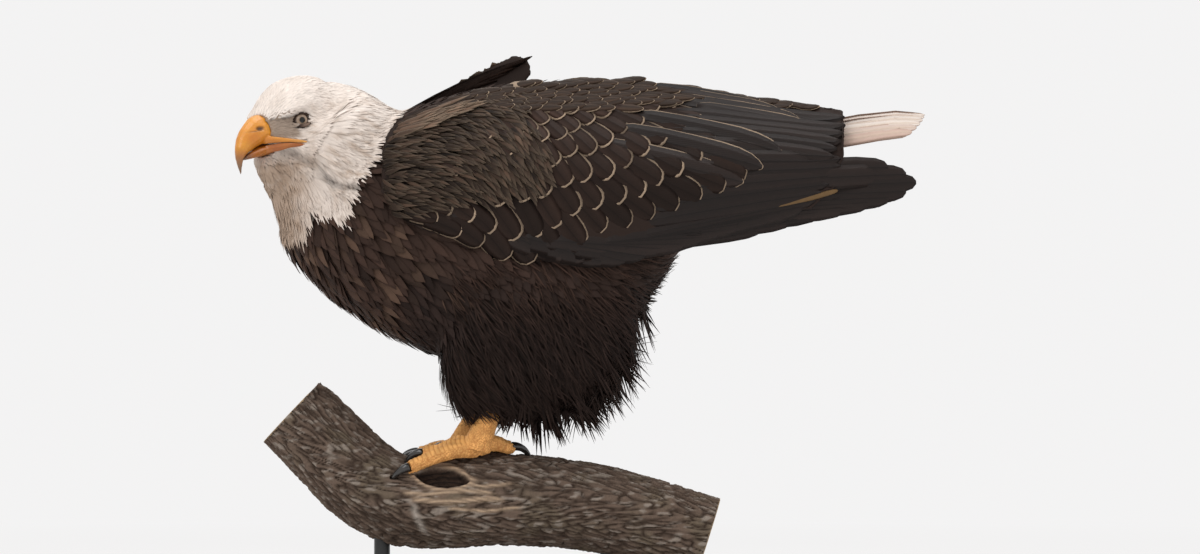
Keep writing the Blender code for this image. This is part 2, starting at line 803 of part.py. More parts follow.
def build():
    clear_scene()
    collection = bpy.data.collections.new("bald_eagle")
    bpy.context.scene.collection.children.link(collection)
    materials = make_materials()

    head, neck, trunk = core_pieces(collection, materials)
    wings = [wing(side, collection, materials["body_feathers"]) for side in (-1, 1)]
    hands = [primaries(side, collection, materials["flight_feathers"]) for side in (-1, 1)]
    thighs = [thigh(side, collection, materials["body_feathers"]) for side in (-1, 1)]
    rump = tail(collection, materials["tail_feathers"])
    bill_top = upper_bill(collection, materials["bill_horn"])
    bill_bottom = lower_bill(collection, materials["bill_horn"])
    eyes = [eye(side, collection, materials["eye"]) for side in (1, -1)]

    feet = {side: foot(side, collection, materials["leg_skin"]) for side in FEET}
    claws = [claw(side, toe, collection, materials["talon_horn"]) for side in FEET for toe in range(4)]
    perch = limb(collection, materials["bark"])
    stand_base(collection, materials["stand_wood"])
    rods = [
        stand_rod(name, x, collection, materials["stand_metal"])
        for name, x in zip(("stand_rod_front", "stand_rod_rear"), ROD_PLACES)
    ]

    # Each solid gives way to the ones that lie over it, the largest first.
    make_room(trunk, [rump, *hands, *wings, *thighs])
    make_room(neck, [*wings, bill_top, bill_bottom])
    make_room(head, [bill_top, bill_bottom, *eyes])
    without_slivers(head)
    make_room(perch, [*feet.values(), *claws, *rods])
    make_room(bill_bottom, [bill_top])
    make_room(rump, [*hands, *wings])
    for hand, plate in zip(hands, wings):
        make_room(hand, [plate])
    for side, sole in feet.items():
        make_room(sole, [*thighs, *[c for c in claws if side in c.name]])
    make_room(feet["right"], [feet["left"]])
    for leg in thighs:
        make_room(leg, wings)
    make_room(thighs[1], [thighs[0]])


build()
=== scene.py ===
"""The looks of a bald eagle that stands hunched on a cut limb, on a plain display stand.

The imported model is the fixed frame. The bird faces -X, its left side faces -Y, and Z is up. Shapes are worked
out in millimetres in that frame and become metres where a mesh is made. "The head's frame" is forward, left and
up from the root of the bill's ridge.
"""

import math

import bmesh
import bpy
import numpy as np
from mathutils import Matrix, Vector, noise
from mathutils.bvhtree import BVHTree


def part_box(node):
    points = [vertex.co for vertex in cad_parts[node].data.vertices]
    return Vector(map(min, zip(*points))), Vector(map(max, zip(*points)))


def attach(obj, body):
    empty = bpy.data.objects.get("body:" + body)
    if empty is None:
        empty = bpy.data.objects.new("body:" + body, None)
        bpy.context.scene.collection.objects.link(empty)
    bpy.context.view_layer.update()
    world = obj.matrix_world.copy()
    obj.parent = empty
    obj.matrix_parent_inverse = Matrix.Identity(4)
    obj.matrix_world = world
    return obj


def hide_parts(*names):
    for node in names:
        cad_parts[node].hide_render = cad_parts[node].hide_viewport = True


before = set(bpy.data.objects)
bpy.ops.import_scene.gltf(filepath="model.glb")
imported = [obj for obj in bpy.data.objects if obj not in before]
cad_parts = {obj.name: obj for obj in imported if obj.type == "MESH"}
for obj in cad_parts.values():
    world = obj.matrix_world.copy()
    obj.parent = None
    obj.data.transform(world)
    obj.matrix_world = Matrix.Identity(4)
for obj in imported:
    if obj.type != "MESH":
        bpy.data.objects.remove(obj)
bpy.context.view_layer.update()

MM = 0.001
SIDES = (("left", -1.0), ("right", 1.0))  # a side's name and the sign of its y

# The head's frame, as the solids have it.
BILL_ROOT = np.array((-221.0, -52.0, 541.8))
HEAD_YAW, HEAD_PITCH, HEAD_ROLL = 50.0, 5.0, 6.0
EYE_LOOK = 27.0  # degrees that the eyes look forward from straight sideways
EYELID_HALF_LENGTH, EYELID_HALF_HEIGHT = 9.4, 6.9

# How deep the skin lies under the outline of the feathers.
FACE_COAT, HEAD_COAT, BODY_COAT = 1.1, 2.3, 7.5

PATCH = 0.003  # a feather's patch on the skin's unwrap

WHITE = np.array((0.78, 0.695, 0.63))
# The beige of painted shade on the throat, cheek and neck.
THROAT_PAINTED_SHADE = np.array((0.36, 0.26, 0.19))
BROWN = np.array((0.036, 0.020, 0.0145))
BLACK_BROWN = np.array((0.021, 0.0125, 0.010))
MID_BROWN = np.array((0.100, 0.060, 0.040))
OCHRE = np.array((0.13, 0.075, 0.03))
BUFF = np.array((0.30, 0.22, 0.155))


# ---------------------------------------------------------------- small helpers


def unit(vectors):
    """The vectors at length one, along the last axis."""
    length = np.linalg.norm(vectors, axis=-1, keepdims=True)
    return vectors / np.maximum(length, 1e-9)


def smooth_step(x, low, high):
    t = np.clip((np.asarray(x, float) - low) / (high - low), 0.0, 1.0)
    return t * t * (3 - 2 * t)


def bell(x, width):
    """One where x is zero, falling smoothly away within about twice the width."""
    return np.exp(-((x / width) ** 2))


def toward(colour, target, share):
    """The colour or colours moved towards the target, each point's by its share."""
    return colour + (np.asarray(target) - colour) * share[:, None]


def curve_through(points, count):
    """Points at equal steps along a smooth curve through the given ones."""
    points = np.array(points, float)
    at = np.concatenate(([0.0], np.cumsum(np.linalg.norm(np.diff(points, axis=0), axis=1))))
    slope = np.gradient(points, at, axis=0)
    out = []
    for s in np.linspace(0.0, at[-1], count):
        i = int(np.clip(np.searchsorted(at, s) - 1, 0, len(at) - 2))
        width = at[i + 1] - at[i]
        t = (s - at[i]) / width
        start = (2 * t**3 - 3 * t**2 + 1) * points[i] + (t**3 - 2 * t**2 + t) * width * slope[i]
        end = (3 * t**2 - 2 * t**3) * points[i + 1] + (t**3 - t**2) * width * slope[i + 1]
        out.append(start + end)
    return np.array(out)


def head_axes():
    yaw, pitch, roll = (math.radians(a) for a in (HEAD_YAW, HEAD_PITCH, HEAD_ROLL))
    forward = np.array((-math.cos(yaw) * math.cos(pitch), -math.sin(yaw) * math.cos(pitch), -math.sin(pitch)))
    left = np.array((math.sin(yaw), -math.cos(yaw), 0.0))
    up = np.cross(forward, left)
    return np.array(
        (forward, left * math.cos(roll) + up * math.sin(roll), up * math.cos(roll) - left * math.sin(roll))
    )


HEAD = head_axes()


def head_place(a, b, c):
    return BILL_ROOT + np.array((a, b, c)) @ HEAD


def in_head(points):
    """Points in the head's frame: forward, left, up."""
    return (points - BILL_ROOT) @ HEAD.T


def mesh_arrays(mesh):
    """Corners in millimetres and triangles of a mesh."""
    mesh.calc_loop_triangles()
    corners = np.empty(len(mesh.vertices) * 3)
    mesh.vertices.foreach_get("co", corners)
    triangles = np.empty(len(mesh.loop_triangles) * 3, int)
    mesh.loop_triangles.foreach_get("vertices", triangles)
    return corners.reshape(-1, 3) / MM, triangles.reshape(-1, 3)


def new_piece(name, mesh, materials, nodes=()):
    """Puts a mesh in the scene as a piece of the object that rides on the one body."""
    obj = bpy.data.objects.new(name, mesh)
    bpy.context.scene.collection.objects.link(obj)
    for material in materials:
        mesh.materials.append(material)
    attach(obj, "root")
    if nodes:
        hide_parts(*nodes)
    return obj


def cad_copy(nodes):
    """A bmesh of the named CAD nodes, its split corners welded."""
    bm = bmesh.new()
    for node in nodes:
        bm.from_mesh(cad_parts[node].data)
    bmesh.ops.remove_doubles(bm, verts=bm.verts[:], dist=1e-6)
    return bm


def remeshed(bm, voxel, smoothing, swell=0.0):
    """The bmesh, swollen first, as one evenly meshed surface. Voxel and swell are in millimetres."""
    mesh = bpy.data.meshes.new("remeshed")
    bm.to_mesh(mesh)
    bm.free()
    obj = bpy.data.objects.new("remeshed", mesh)
    bpy.context.scene.collection.objects.link(obj)
    if swell:
        grow = obj.modifiers.new("grow", "DISPLACE")
        grow.mid_level = 0.0
        grow.strength = swell * MM
    even = obj.modifiers.new("even", "REMESH")
    even.mode = "VOXEL"
    even.voxel_size = voxel * MM
    if smoothing:
        soften = obj.modifiers.new("soften", "SMOOTH")
        soften.factor = 0.5
        soften.iterations = smoothing
    made = bpy.data.meshes.new_from_object(obj.evaluated_get(bpy.context.evaluated_depsgraph_get()))
    bpy.data.objects.remove(obj, do_unlink=True)
    return made


def vertex_normals(corners, triangles):
    a, b, c = (corners[triangles[:, i]] for i in range(3))
    area = np.cross(b - a, c - a)
    normals = np.zeros_like(corners)
    for i in range(3):
        np.add.at(normals, triangles[:, i], area)
    return unit(normals)


class Guide:
    """A surface that feathers lie on."""

    def __init__(self, corners, triangles):
        self.corners, self.triangles = corners, triangles
        self.normals = vertex_normals(corners, triangles)
        self.tree = BVHTree.FromPolygons(corners.tolist(), triangles.tolist())

    def nearest(self, points):
        """Nearest places on the surface, their triangles and the weights of those triangles' corners."""
        places = np.empty((len(points), 3))
        faces = np.empty(len(points), int)
        for i, point in enumerate(points.tolist()):
            place, _, faces[i], _ = self.tree.find_nearest(point)
            places[i] = place
        a, b, c = (self.corners[self.triangles[faces, i]] for i in range(3))
        whole = np.cross(b - a, c - a)
        size = np.maximum(np.einsum("ij,ij->i", whole, whole), 1e-12)
        wa = np.einsum("ij,ij->i", np.cross(b - places, c - places), whole) / size
        wb = np.einsum("ij,ij->i", np.cross(c - places, a - places), whole) / size
        weights = np.clip(np.stack((wa, wb, 1 - wa - wb), 1), 0.0, 1.0)
        return places, faces, weights

    def settle(self, points):
        """Drops points on the surface, or on its tangent beyond its rim, and gives the normals there."""
        places, faces, weights = self.nearest(points)
        normals = unit(np.einsum("ij,ijk->ik", weights, self.normals[self.triangles[faces]]))
        height = np.einsum("ij,ij->i", points - places, normals)
        return points - normals * height[:, None], normals

    def scatter(self, spacing, wanted, seed):
        """Points over the part of the surface that is wanted, about one spacing apart."""
        rng = np.random.default_rng(seed)
        a, b, c = (self.corners[self.triangles[:, i]] for i in range(3))
        area = np.linalg.norm(np.cross(b - a, c - a), axis=1) / 2
        area = area * wanted((a + b + c) / 3)
        count = int(area.sum() / spacing**2 * 5)
        if count == 0:
            return np.empty((0, 3))
        pick = rng.choice(len(area), count, p=area / area.sum())
        u, v = rng.random(count), rng.random(count)
        flip = u + v > 1
        u[flip], v[flip] = 1 - u[flip], 1 - v[flip]
        points = a[pick] + (b - a)[pick] * u[:, None] + (c - a)[pick] * v[:, None]
        points = points[wanted(points) > 0.5]
        kept, cells = [], {}
        near = [(i, j, k) for i in (-1, 0, 1) for j in (-1, 0, 1) for k in (-1, 0, 1)]
        for point, cell in zip(points.tolist(), np.floor(points / spacing).astype(int).tolist()):
            close = False
            for i, j, k in near:
                for x, y, z in cells.get((cell[0] + i, cell[1] + j, cell[2] + k), ()):
                    if (x - point[0]) ** 2 + (y - point[1]) ** 2 + (z - point[2]) ** 2 < spacing**2:
                        close = True
            if not close:
                cells.setdefault(tuple(cell), []).append(point)
                kept.append(point)
        return np.array(kept)


# ---------------------------------------------------------------- materials


class Shader:
    """A node material with a Principled BSDF, and short ways to add nodes to it."""

    def __init__(self, name, roughness=0.6, **values):
        self.material = bpy.data.materials.new(name)
        self.material.use_nodes = True
        self.tree = self.material.node_tree
        self.bsdf = self.tree.nodes["Principled BSDF"]
        self.bsdf.inputs["Roughness"].default_value = roughness
        for key, value in values.items():
            self.bsdf.inputs[key.replace("_", " ")].default_value = value

    def node(self, kind, inputs=(), **settings):
        made = self.tree.nodes.new(kind)
        for key, value in settings.items():
            setattr(made, key, value)
        for key, value in dict(inputs).items():
            if isinstance(value, bpy.types.NodeSocket):
                self.tree.links.new(value, made.inputs[key])
            else:
                made.inputs[key].default_value = value
        return made

    def attribute(self, name):
        return self.node("ShaderNodeAttribute", attribute_name=name)

    def object_place(self):
        return self.node("ShaderNodeTexCoord").outputs["Object"]

    def noise(self, vector, scale, detail=4.0, rough=0.55):
        inputs = {"Vector": vector, "Scale": scale, "Detail": detail, "Roughness": rough}
        return self.node("ShaderNodeTexNoise", inputs).outputs["Fac"]

    def ramp(self, factor, stops):
        made = self.node("ShaderNodeValToRGB", {"Fac": factor})
        ramp = made.color_ramp
        while len(ramp.elements) < len(stops):
            ramp.elements.new(0.5)
        for element, (at, colour) in zip(ramp.elements, stops):
            element.position = at
            element.color = (*colour, 1.0)
        return made.outputs["Color"]

    def math(self, operation, a, b=0.0, c=0.0):
        return self.node("ShaderNodeMath", {0: a, 1: b, 2: c}, operation=operation).outputs[0]

    def mix(self, factor, a, b, blend="MIX"):
        made = self.node("ShaderNodeMix", {"Factor": factor}, data_type="RGBA", blend_type=blend)
        for key, value in ((6, a), (7, b)):
            if isinstance(value, bpy.types.NodeSocket):
                self.tree.links.new(value, made.inputs[key])
            else:
                made.inputs[key].default_value = (*value, 1.0)
        return made.outputs[2]

    def to(self, socket, value):
        self.tree.links.new(value, self.bsdf.inputs[socket])

    def bump(self, height, strength, distance, normal=None):
        inputs = {"Height": height, "Strength": strength, "Distance": distance}
        if normal is not None:
            inputs["Normal"] = normal
        return self.node("ShaderNodeBump", inputs).outputs["Normal"]

    def grained(self, attribute, share, dark, pale, noise, bump):
        """The colours of a mesh attribute, mottled and roughened by a fine noise.

        The noise is given by its scale, detail and roughness, the bump by its strength and distance."""
        grain = self.noise(self.object_place(), *noise)
        colour = self.attribute(attribute).outputs["Color"]
        self.to("Base Color", self.mix(share, colour, self.mix(grain, dark, pale), "MULTIPLY"))
        self.to("Normal", self.bump(grain, *bump))

    def speckled(self, grain, dark, pale, bump):
        """Two colours, each with the value of the grain where it starts, and the grain's relief."""
        self.to("Base Color", self.ramp(grain, (dark, pale)))
        self.to("Normal", self.bump(grain, *bump))


def feather_material(name, roughness, variation, barb_depth, shine=0.12):
    """Feather vanes: the colour of each feather, finely mottled, with barbs that slant back from the shaft."""
    s = Shader(name, roughness, Specular_IOR_Level=shine)
    plumage = s.attribute("plumage").outputs["Color"]
    vane = s.node("ShaderNodeUVMap", uv_map="vane").outputs["UV"]
    parts = s.node("ShaderNodeSeparateXYZ", {"Vector": vane})
    away = s.math("ABSOLUTE", s.math("SUBTRACT", parts.outputs["X"], 0.5))
    slant = s.math("SUBTRACT", parts.outputs["Y"], s.math("MULTIPLY", away, 0.5))
    barbs = s.math("SINE", s.math("MULTIPLY", slant, 150.0))
    mottle = s.noise(s.object_place(), 160.0, 5.0, 0.65)
    spread = s.math("MULTIPLY_ADD", s.math("SUBTRACT", mottle, 0.5), variation, 1.0)
    lines = s.math("MULTIPLY_ADD", barbs, variation * 0.12, spread)
    grey = s.node("ShaderNodeCombineColor", {"Red": lines, "Green": lines, "Blue": lines}).outputs["Color"]
    s.to("Base Color", s.mix(1.0, plumage, grey, "MULTIPLY"))
    s.to("Normal", s.bump(barbs, barb_depth, 0.0004))
    return s.material


# ---------------------------------------------------------------- markings

# The plane between the white neck and the brown body, the direction down it to the throat's side, and the
# ragged edge: how far up the neck from the throat, and how far towards the head.
COLLAR_POINT = np.array((-137.0, 0.0, 481.5))
COLLAR_NORMAL = unit(np.array((-0.716, 0.0, 0.698)))
COLLAR_ALONG = np.array((0.698, 0.0, 0.716))
COLLAR_EDGE = (
    (-90, -76, -64, -50, -42, -34, -24, -14, 3, 17, 49, 82, 120),
    (6, -8, -17, -10, 3, -22, -35, -27, -18, -16, -6, 4, 10),
)
# The furrow that runs from the mouth's corner down behind the jaw, on the left side: x, z.
JAW_FURROW = [
    (-195, 506), (-186, 503), (-178, 498), (-169, 494), (-160, 488), (-153, 480), (-143, 472), (-121, 468),
]


def collar_height(points):
    """How far points lie on the white side of the ragged edge between the white neck and the brown body."""
    away = points - COLLAR_POINT
    return away @ COLLAR_NORMAL - np.interp(away @ COLLAR_ALONG, *COLLAR_EDGE)


def wavy(points, size, seed=0.0):
    """A smooth random value, -1 to 1, for each point."""
    return np.array([noise.noise((x / size + seed, y / size, z / size)) for x, y, z in points.tolist()])


def marking(points):
    """The bird's colour at points on it: white head, neck and tail coverts, with painted shade on the throat,
    cheek and neck, and dark brown elsewhere.
    """
    x, y, z = points.T
    ragged = 3.5 * wavy(points, 9.0) + 2.0 * wavy(points, 4.0, 7.0)
    white = smooth_step(collar_height(points) + ragged, -1.5, 1.5)
    rump = smooth_step(x + 0.35 * (z - 480) + ragged, 222, 232) * (np.abs(y) < 60) * (z < 545)
    tail_root = smooth_step(x + ragged, 236, 246) * (np.abs(y) < 34)
    return toward(brown_marking(points), pale_marking(points), np.maximum.reduce((white, rump, tail_root)))


def pale_marking(points):
    """White, with painted shade: beige on the throat, the cheek darker lower down and in soft blotches, streaks
    between the locks of cheek and neck, and dark in the jaw's furrow.
    """
    a, b, c = in_head(points).T
    # Painted shade: beige on the throat, the cheek darkening lower down with soft blotches, and streaks between
    # the locks.
    throat = smooth_step(-c, 36, 62) * smooth_step(-points[:, 0], 150, 200)
    throat = np.clip(throat * (0.85 + 0.5 * wavy(points, 7.0, 3.0)), 0, 1)
    cheek = 0.24 * smooth_step(-c, 5, 40) + 0.12 * smooth_step(wavy(points, 16.0, 8.0), 0.0, 0.5)
    along, across = a * 0.8 + c * 0.6, c * 0.8 - a * 0.6
    streak = smooth_step(wavy(np.stack((along / 5.0, across, 0.5 * b), 1), 4.4, 12.0), 0.05, 0.5)
    streak = 0.45 * streak * smooth_step(-c, -20, 20) * smooth_step(-a, 15, 50)
    pale = toward(WHITE, THROAT_PAINTED_SHADE, np.clip(0.95 * throat + cheek + streak, 0, 0.95))
    # Painted shadow in the jaw's furrow, and softer painted shade on the throat below it.
    gap = furrow_gap(points)
    shade = 0.80 * bell(gap, 2.6) + 0.15 * bell(gap, 7.0) * smooth_step(-c, 30, 45)
    return pale * (1 - shade)[:, None]


def brown_marking(points):
    """The dark brown of the body, streaked paler on the breast and blackish on the thighs."""
    x, _, z = points.T
    streak = smooth_step(wavy(points, 13.0, 5.0), 0.05, 0.5)
    breast = smooth_step(-x, 10, 70) * smooth_step(-z, -470, -400)
    thigh = smooth_step(-z, -410, -340) * smooth_step(x, -80, -50)
    return toward(toward(BROWN, MID_BROWN, 0.8 * streak * breast), BLACK_BROWN, thigh)


def at_sections(colouring, paths):
    """The colours that a marking gives at every section of feathers."""
    return colouring(paths.reshape(-1, 3)).reshape(paths.shape)


# ---------------------------------------------------------------- guides and skin

FLESH = ["head", "neck", "trunk", "thigh_left", "thigh_right"]
WINGS = ["wing_left", "wing_right"]


def closed_guide(nodes, voxel, swell=0.5):
    """A guide over the named solids, with the thin cuts between them closed."""
    corners, triangles = mesh_arrays(remeshed(cad_copy(nodes), voxel, 3, swell))
    return Guide(corners - vertex_normals(corners, triangles) * swell, triangles)


body_guide = closed_guide(FLESH, 3.0)


def furrow_line():
    """The jaw's furrow in the head's frame, found on the bird's left side."""
    line = []
    for x, z in JAW_FURROW:
        hit, _, _, _ = body_guide.tree.ray_cast((x, -300.0, z), (0.0, 1.0, 0.0))
        if hit is not None:
            line.append(tuple(hit))
    return in_head(curve_through(line, 40))


FURROW = furrow_line()


def furrow_gap(points):
    """The distance of each point from the jaw's furrow, on either side of the head."""
    place = in_head(points)
    place[:, 1] = np.abs(place[:, 1])
    gaps = [np.linalg.norm(place - spot, axis=1) for spot in FURROW]
    return np.min(gaps, axis=0)


def creased(guide):
    """The guide with the jaw's furrow pressed in and the cheek swollen beside it."""
    gap = furrow_gap(guide.corners)
    press = 3.4 * bell(gap, 3.8) - 0.9 * bell(gap - 8.5, 4.0)
    return Guide(guide.corners - guide.normals * press[:, None], guide.triangles)


body_guide = creased(body_guide)


def outer_sheet(nodes, outward):
    """The faces of the named solids that look the given way."""
    bm = cad_copy(nodes)
    bmesh.ops.subdivide_edges(bm, edges=bm.edges[:], cuts=1, use_grid_fill=True)
    mesh = bpy.data.meshes.new("sheet")
    bm.to_mesh(mesh)
    bm.free()
    corners, triangles = mesh_arrays(mesh)
    a, b, c = (corners[triangles[:, i]] for i in range(3))
    normals = unit(np.cross(b - a, c - a))
    return Guide(corners, triangles[normals @ np.array(outward) > 0.2])


wing_guides = {name: outer_sheet([f"wing_{name}"], (0.0, sign, 0.35)) for name, sign in SIDES}
tail_guide = outer_sheet(["tail"], (0.0, 0.0, 1.0))


def coat_depth(points):
    """How deep the skin lies below the outline of the feathers at each point."""
    forward, _, up = in_head(points).T
    depth = BODY_COAT + (HEAD_COAT - BODY_COAT) * smooth_step(collar_height(points), -15, 25)
    face = smooth_step(forward, -42, -18) * smooth_step(up, -52, -42)
    return depth * (1 - face) + FACE_COAT * face


def foot_mesh(side):
    """A foot's skin: the solid foot, its leg carried up into the thigh."""
    node = f"foot_{side}"
    bm = cad_copy([node])
    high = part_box(node)[1].z / MM
    top = np.array([v.co for v in bm.verts if v.co.z / MM > high - 5.0]).mean(axis=0)
    stub = bmesh.ops.create_cone(bm, cap_ends=True, segments=24, radius1=0.0105, radius2=0.0105, depth=0.036)
    bmesh.ops.translate(bm, verts=stub["verts"], vec=Vector((top[0], top[1], top[2] + 0.012)))
    return mesh_arrays(remeshed(bm, 0.9, 4))


def toe_lines(side):
    """Each toe's line, from the ankle to the root of its claw, found from the claws' solids."""
    corners, _ = mesh_arrays(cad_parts[f"foot_{side}"].data)
    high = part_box(f"foot_{side}")[1].z / MM
    ankle = corners[corners[:, 2] > high - 14].mean(axis=0) - (0, 0, 26)
    lines = []
    for toe in range(1, 5):
        claw, _ = mesh_arrays(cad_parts[f"claw_{side}_{toe}"].data)
        reach = np.linalg.norm(claw - ankle, axis=1)
        lines.append((ankle, claw[reach < reach.min() + 7].mean(axis=0)))
    return lines


def scaled(side, corners, triangles):
    """Raises the broad scutes on top of the toes and leg, and small round scales elsewhere."""
    normals = vertex_normals(corners, triangles)
    best = np.full(len(corners), 1e9)
    along = np.zeros(len(corners))
    for ankle, root in toe_lines(side):
        run = root - ankle
        length = np.linalg.norm(run)
        t = np.clip((corners - ankle) @ run / length**2, 0, 1)
        gap = np.linalg.norm(corners - (ankle + t[:, None] * run), axis=1)
        closer = gap < best
        best[closer] = gap[closer]
        along[closer] = (t * length)[closer]
    leg = smooth_step(corners[:, 2], 224, 232)
    along = along * (1 - leg) + corners[:, 2] * leg
    phase = (along / 4.6) % 1.0
    scute = 0.5 * np.sin(np.pi * phase) ** 0.5 - 0.25
    top = smooth_step(normals[:, 2] * (1 - leg) - normals[:, 0] * leg, 0.05, 0.55)
    pebble = np.empty(len(corners))
    for i, (x, y, z) in enumerate((corners / 2.3).tolist()):
        near = noise.voronoi((x, y, z))[0]
        pebble[i] = min(near[1] - near[0], 0.5)
    lift = top * scute * 1.1 + (1 - top) * (pebble - 0.25) * 0.9
    scute_middle = 1 - smooth_step(np.abs(phase - 0.5), 0.28, 0.5)
    crease = top * scute_middle + (1 - top) * smooth_step(pebble, 0.05, 0.3)
    return corners + normals * lift[:, None], crease


def facing_out(corners, triangles):
    """The triangles of a closed surface, all turned the other way if they face in."""
    a, b, c = (corners[triangles[:, i]] for i in range(3))
    return triangles if np.einsum("ij,ij->", a, np.cross(b, c)) > 0 else triangles[:, ::-1]


def mesh_from(name, corners, faces):
    mesh = bpy.data.meshes.new(name)
    mesh.from_pydata((corners * MM).tolist(), [], faces.tolist() if hasattr(faces, "tolist") else faces)
    return mesh


def set_colours(mesh, name, colours):
    layer = mesh.color_attributes.new(name, "FLOAT_COLOR", "POINT")
    values = np.ones((len(mesh.vertices), 4), np.float32)
    values[:, :3] = colours
    layer.data.foreach_set("color", values.ravel())


# The dark line under the brow is a painted shadow of the brow ridge.
BROW_SHADOW_LINE = -7.7  # how far under the bill's root the dark line of the brow lies
# The lid's dark brown, whose darkness above and in front is partly painted shade under the brow, and its paler
# lower part.
LID_DARK_AND_SHADE, LID_PALE = np.array((0.045, 0.027, 0.021)), np.array((0.17, 0.115, 0.088))
LORES = np.array((0.30, 0.225, 0.17))
LEG_YELLOW = np.array((0.78, 0.40, 0.13))
LEG_CREASE = np.array((0.42, 0.15, 0.04))


def eyelid(side, segments=56, around=12):
    """A ring of bare dark skin round an eye, drawn out to a point at its front corner."""
    centre = eye_centre(side)
    sign = 1.0 if side == "left" else -1.0
    look, across, up = eye_axes(sign)
    corners, faces = [], []
    for i in range(segments):
        angle = 2 * math.pi * i / segments
        c, s = math.cos(angle), math.sin(angle)
        front = max(0.0, c) ** 5
        u = EYELID_HALF_LENGTH * c + 3.6 * front
        v = EYELID_HALF_HEIGHT * s * (1 - 0.35 * front) - 1.6 * front
        v -= 1.3 * max(0.0, s) ** 2
        reach = math.hypot(u, v)
        depth = math.sqrt(max(11.1**2 - reach**2, 0.0)) if reach < 10.2 else 4.38 - (reach - 10.2) * 0.75
        rim = centre + across * u + up * v + look * depth
        out = unit(across * u + up * v)
        thick = 0.68 + 0.42 * max(0.0, s)
        for j in range(around):
            turn = 2 * math.pi * j / around
            corners.append(rim + out * math.cos(turn) * thick * 1.5 + look * math.sin(turn) * thick * 0.75)
    for i in range(segments):
        for j in range(around):
            k, m = (i + 1) % segments, (j + 1) % around
            faces.append((i * around + j, i * around + m, k * around + m, k * around + j))
    return np.array(corners), faces


def eye_centre(side):
    low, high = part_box(f"eye_{side}")
    return (np.array(low) + np.array(high)) / 2 / MM


def eye_axes(sign):
    """Where an eye looks, and the directions across it to the front and up it."""
    look = math.radians(EYE_LOOK)
    outward = HEAD[0] * math.sin(look) + HEAD[1] * sign * math.cos(look)
    front = unit(HEAD[0] - outward * (HEAD[0] @ outward))
    return outward, front, np.cross(outward, front) * sign


def eased(corners, triangles, depth, slope=0.5):
    """The depth with no step steeper than the slope, so that thin rims keep their outline."""
    start, end = triangles.ravel(), np.roll(triangles, -1, axis=1).ravel()
    run = slope * np.linalg.norm(corners[start] - corners[end], axis=1)
    for _ in range(14):
        limit = depth.copy()
        np.minimum.at(limit, start, depth[end] + run)
        np.minimum.at(limit, end, depth[start] + run)
        depth = limit
    return depth


# The skin's mesh, and the share of the flesh's thickness that the coat may take up where that is thin, on the
# outer and the inner side, and elsewhere.
SKIN_VOXEL, SKIN_SWELL = 2.5, 0.6
THIN, THIN_OUTSIDE, THIN_INSIDE, THICK_SHARE = 15.0, 0.66, 0.16, 0.38


def skin_depth(corners, triangles, normals):
    """How deep the skin sinks below the swollen solids: by the coat's depth, less where they are thin."""
    tree = BVHTree.FromPolygons(corners.tolist(), triangles.tolist())
    depth = coat_depth(corners)
    outward = corners[:, 1] * normals[:, 1] > 0.25 * np.abs(corners[:, 1])
    for i, (place, normal) in enumerate(zip(corners.tolist(), normals.tolist())):
        start = [a - 0.2 * b for a, b in zip(place, normal)]
        _, _, _, reach = tree.ray_cast(start, [-b for b in normal], 40.0)
        if reach is not None:
            share = THICK_SHARE
            if reach < THIN:
                share = THIN_OUTSIDE if outward[i] else THIN_INSIDE
            depth[i] = min(depth[i] + SKIN_SWELL, share * reach)
    return eased(corners, triangles, depth) + 3.0 * bell(furrow_gap(corners), 3.8)


def body_skin():
    """The skin of the head, body, thighs and wings in the plumage's colours, a little darker as painted shade
    under the feathers, and dark under the wings' feathers.
    """
    corners, triangles = mesh_arrays(remeshed(cad_copy(FLESH + WINGS), SKIN_VOXEL, 2, SKIN_SWELL))
    normals = vertex_normals(corners, triangles)
    corners = corners - normals * skin_depth(corners, triangles, normals)[:, None]
    # The plumage's colours a little darker: painted shade under the feathers.
    colours = marking(corners) * 0.85
    for guide in wing_guides.values():
        gaps = np.array([guide.tree.find_nearest(place)[3] for place in corners.tolist()])
        colours[gaps < 8.5] = BROWN * 0.6
    a, _, c = in_head(corners).T
    lores = smooth_step(a, -31, -24) * smooth_step(c, -30, -24) * (1 - smooth_step(c, -4, 1))
    return corners, triangles, toward(colours, LORES, lores)


def foot_skin(side):
    """A foot's scaly skin, yellow with darker creases."""
    corners, triangles = foot_mesh(side)
    corners, crease = scaled(side, corners, triangles)
    warm = smooth_step(wavy(corners, 7.0, 2.0), -0.5, 0.6)[:, None]
    return corners, triangles, toward(LEG_CREASE, LEG_YELLOW * (0.85 + 0.3 * warm), 0.25 + 0.75 * crease)


def lid_skin(side):
    """The bare skin round an eye, dark, and paler below and behind; its dark top and front is partly painted
    shade under the brow.
    """
    corners, quads = eyelid(side)
    quads = np.array(quads)
    triangles = facing_out(corners, np.concatenate((quads[:, [0, 1, 2]], quads[:, [0, 2, 3]])))
    away = corners - eye_centre(side)
    # Dark above and in front, partly as painted shade under the brow; pale below and behind.
    light = (1 - smooth_step(away @ HEAD[2], -5, 3)) * (1 - smooth_step(away @ HEAD[0], 2, 8))
    return corners, triangles, toward(LID_DARK_AND_SHADE, LID_PALE, light)


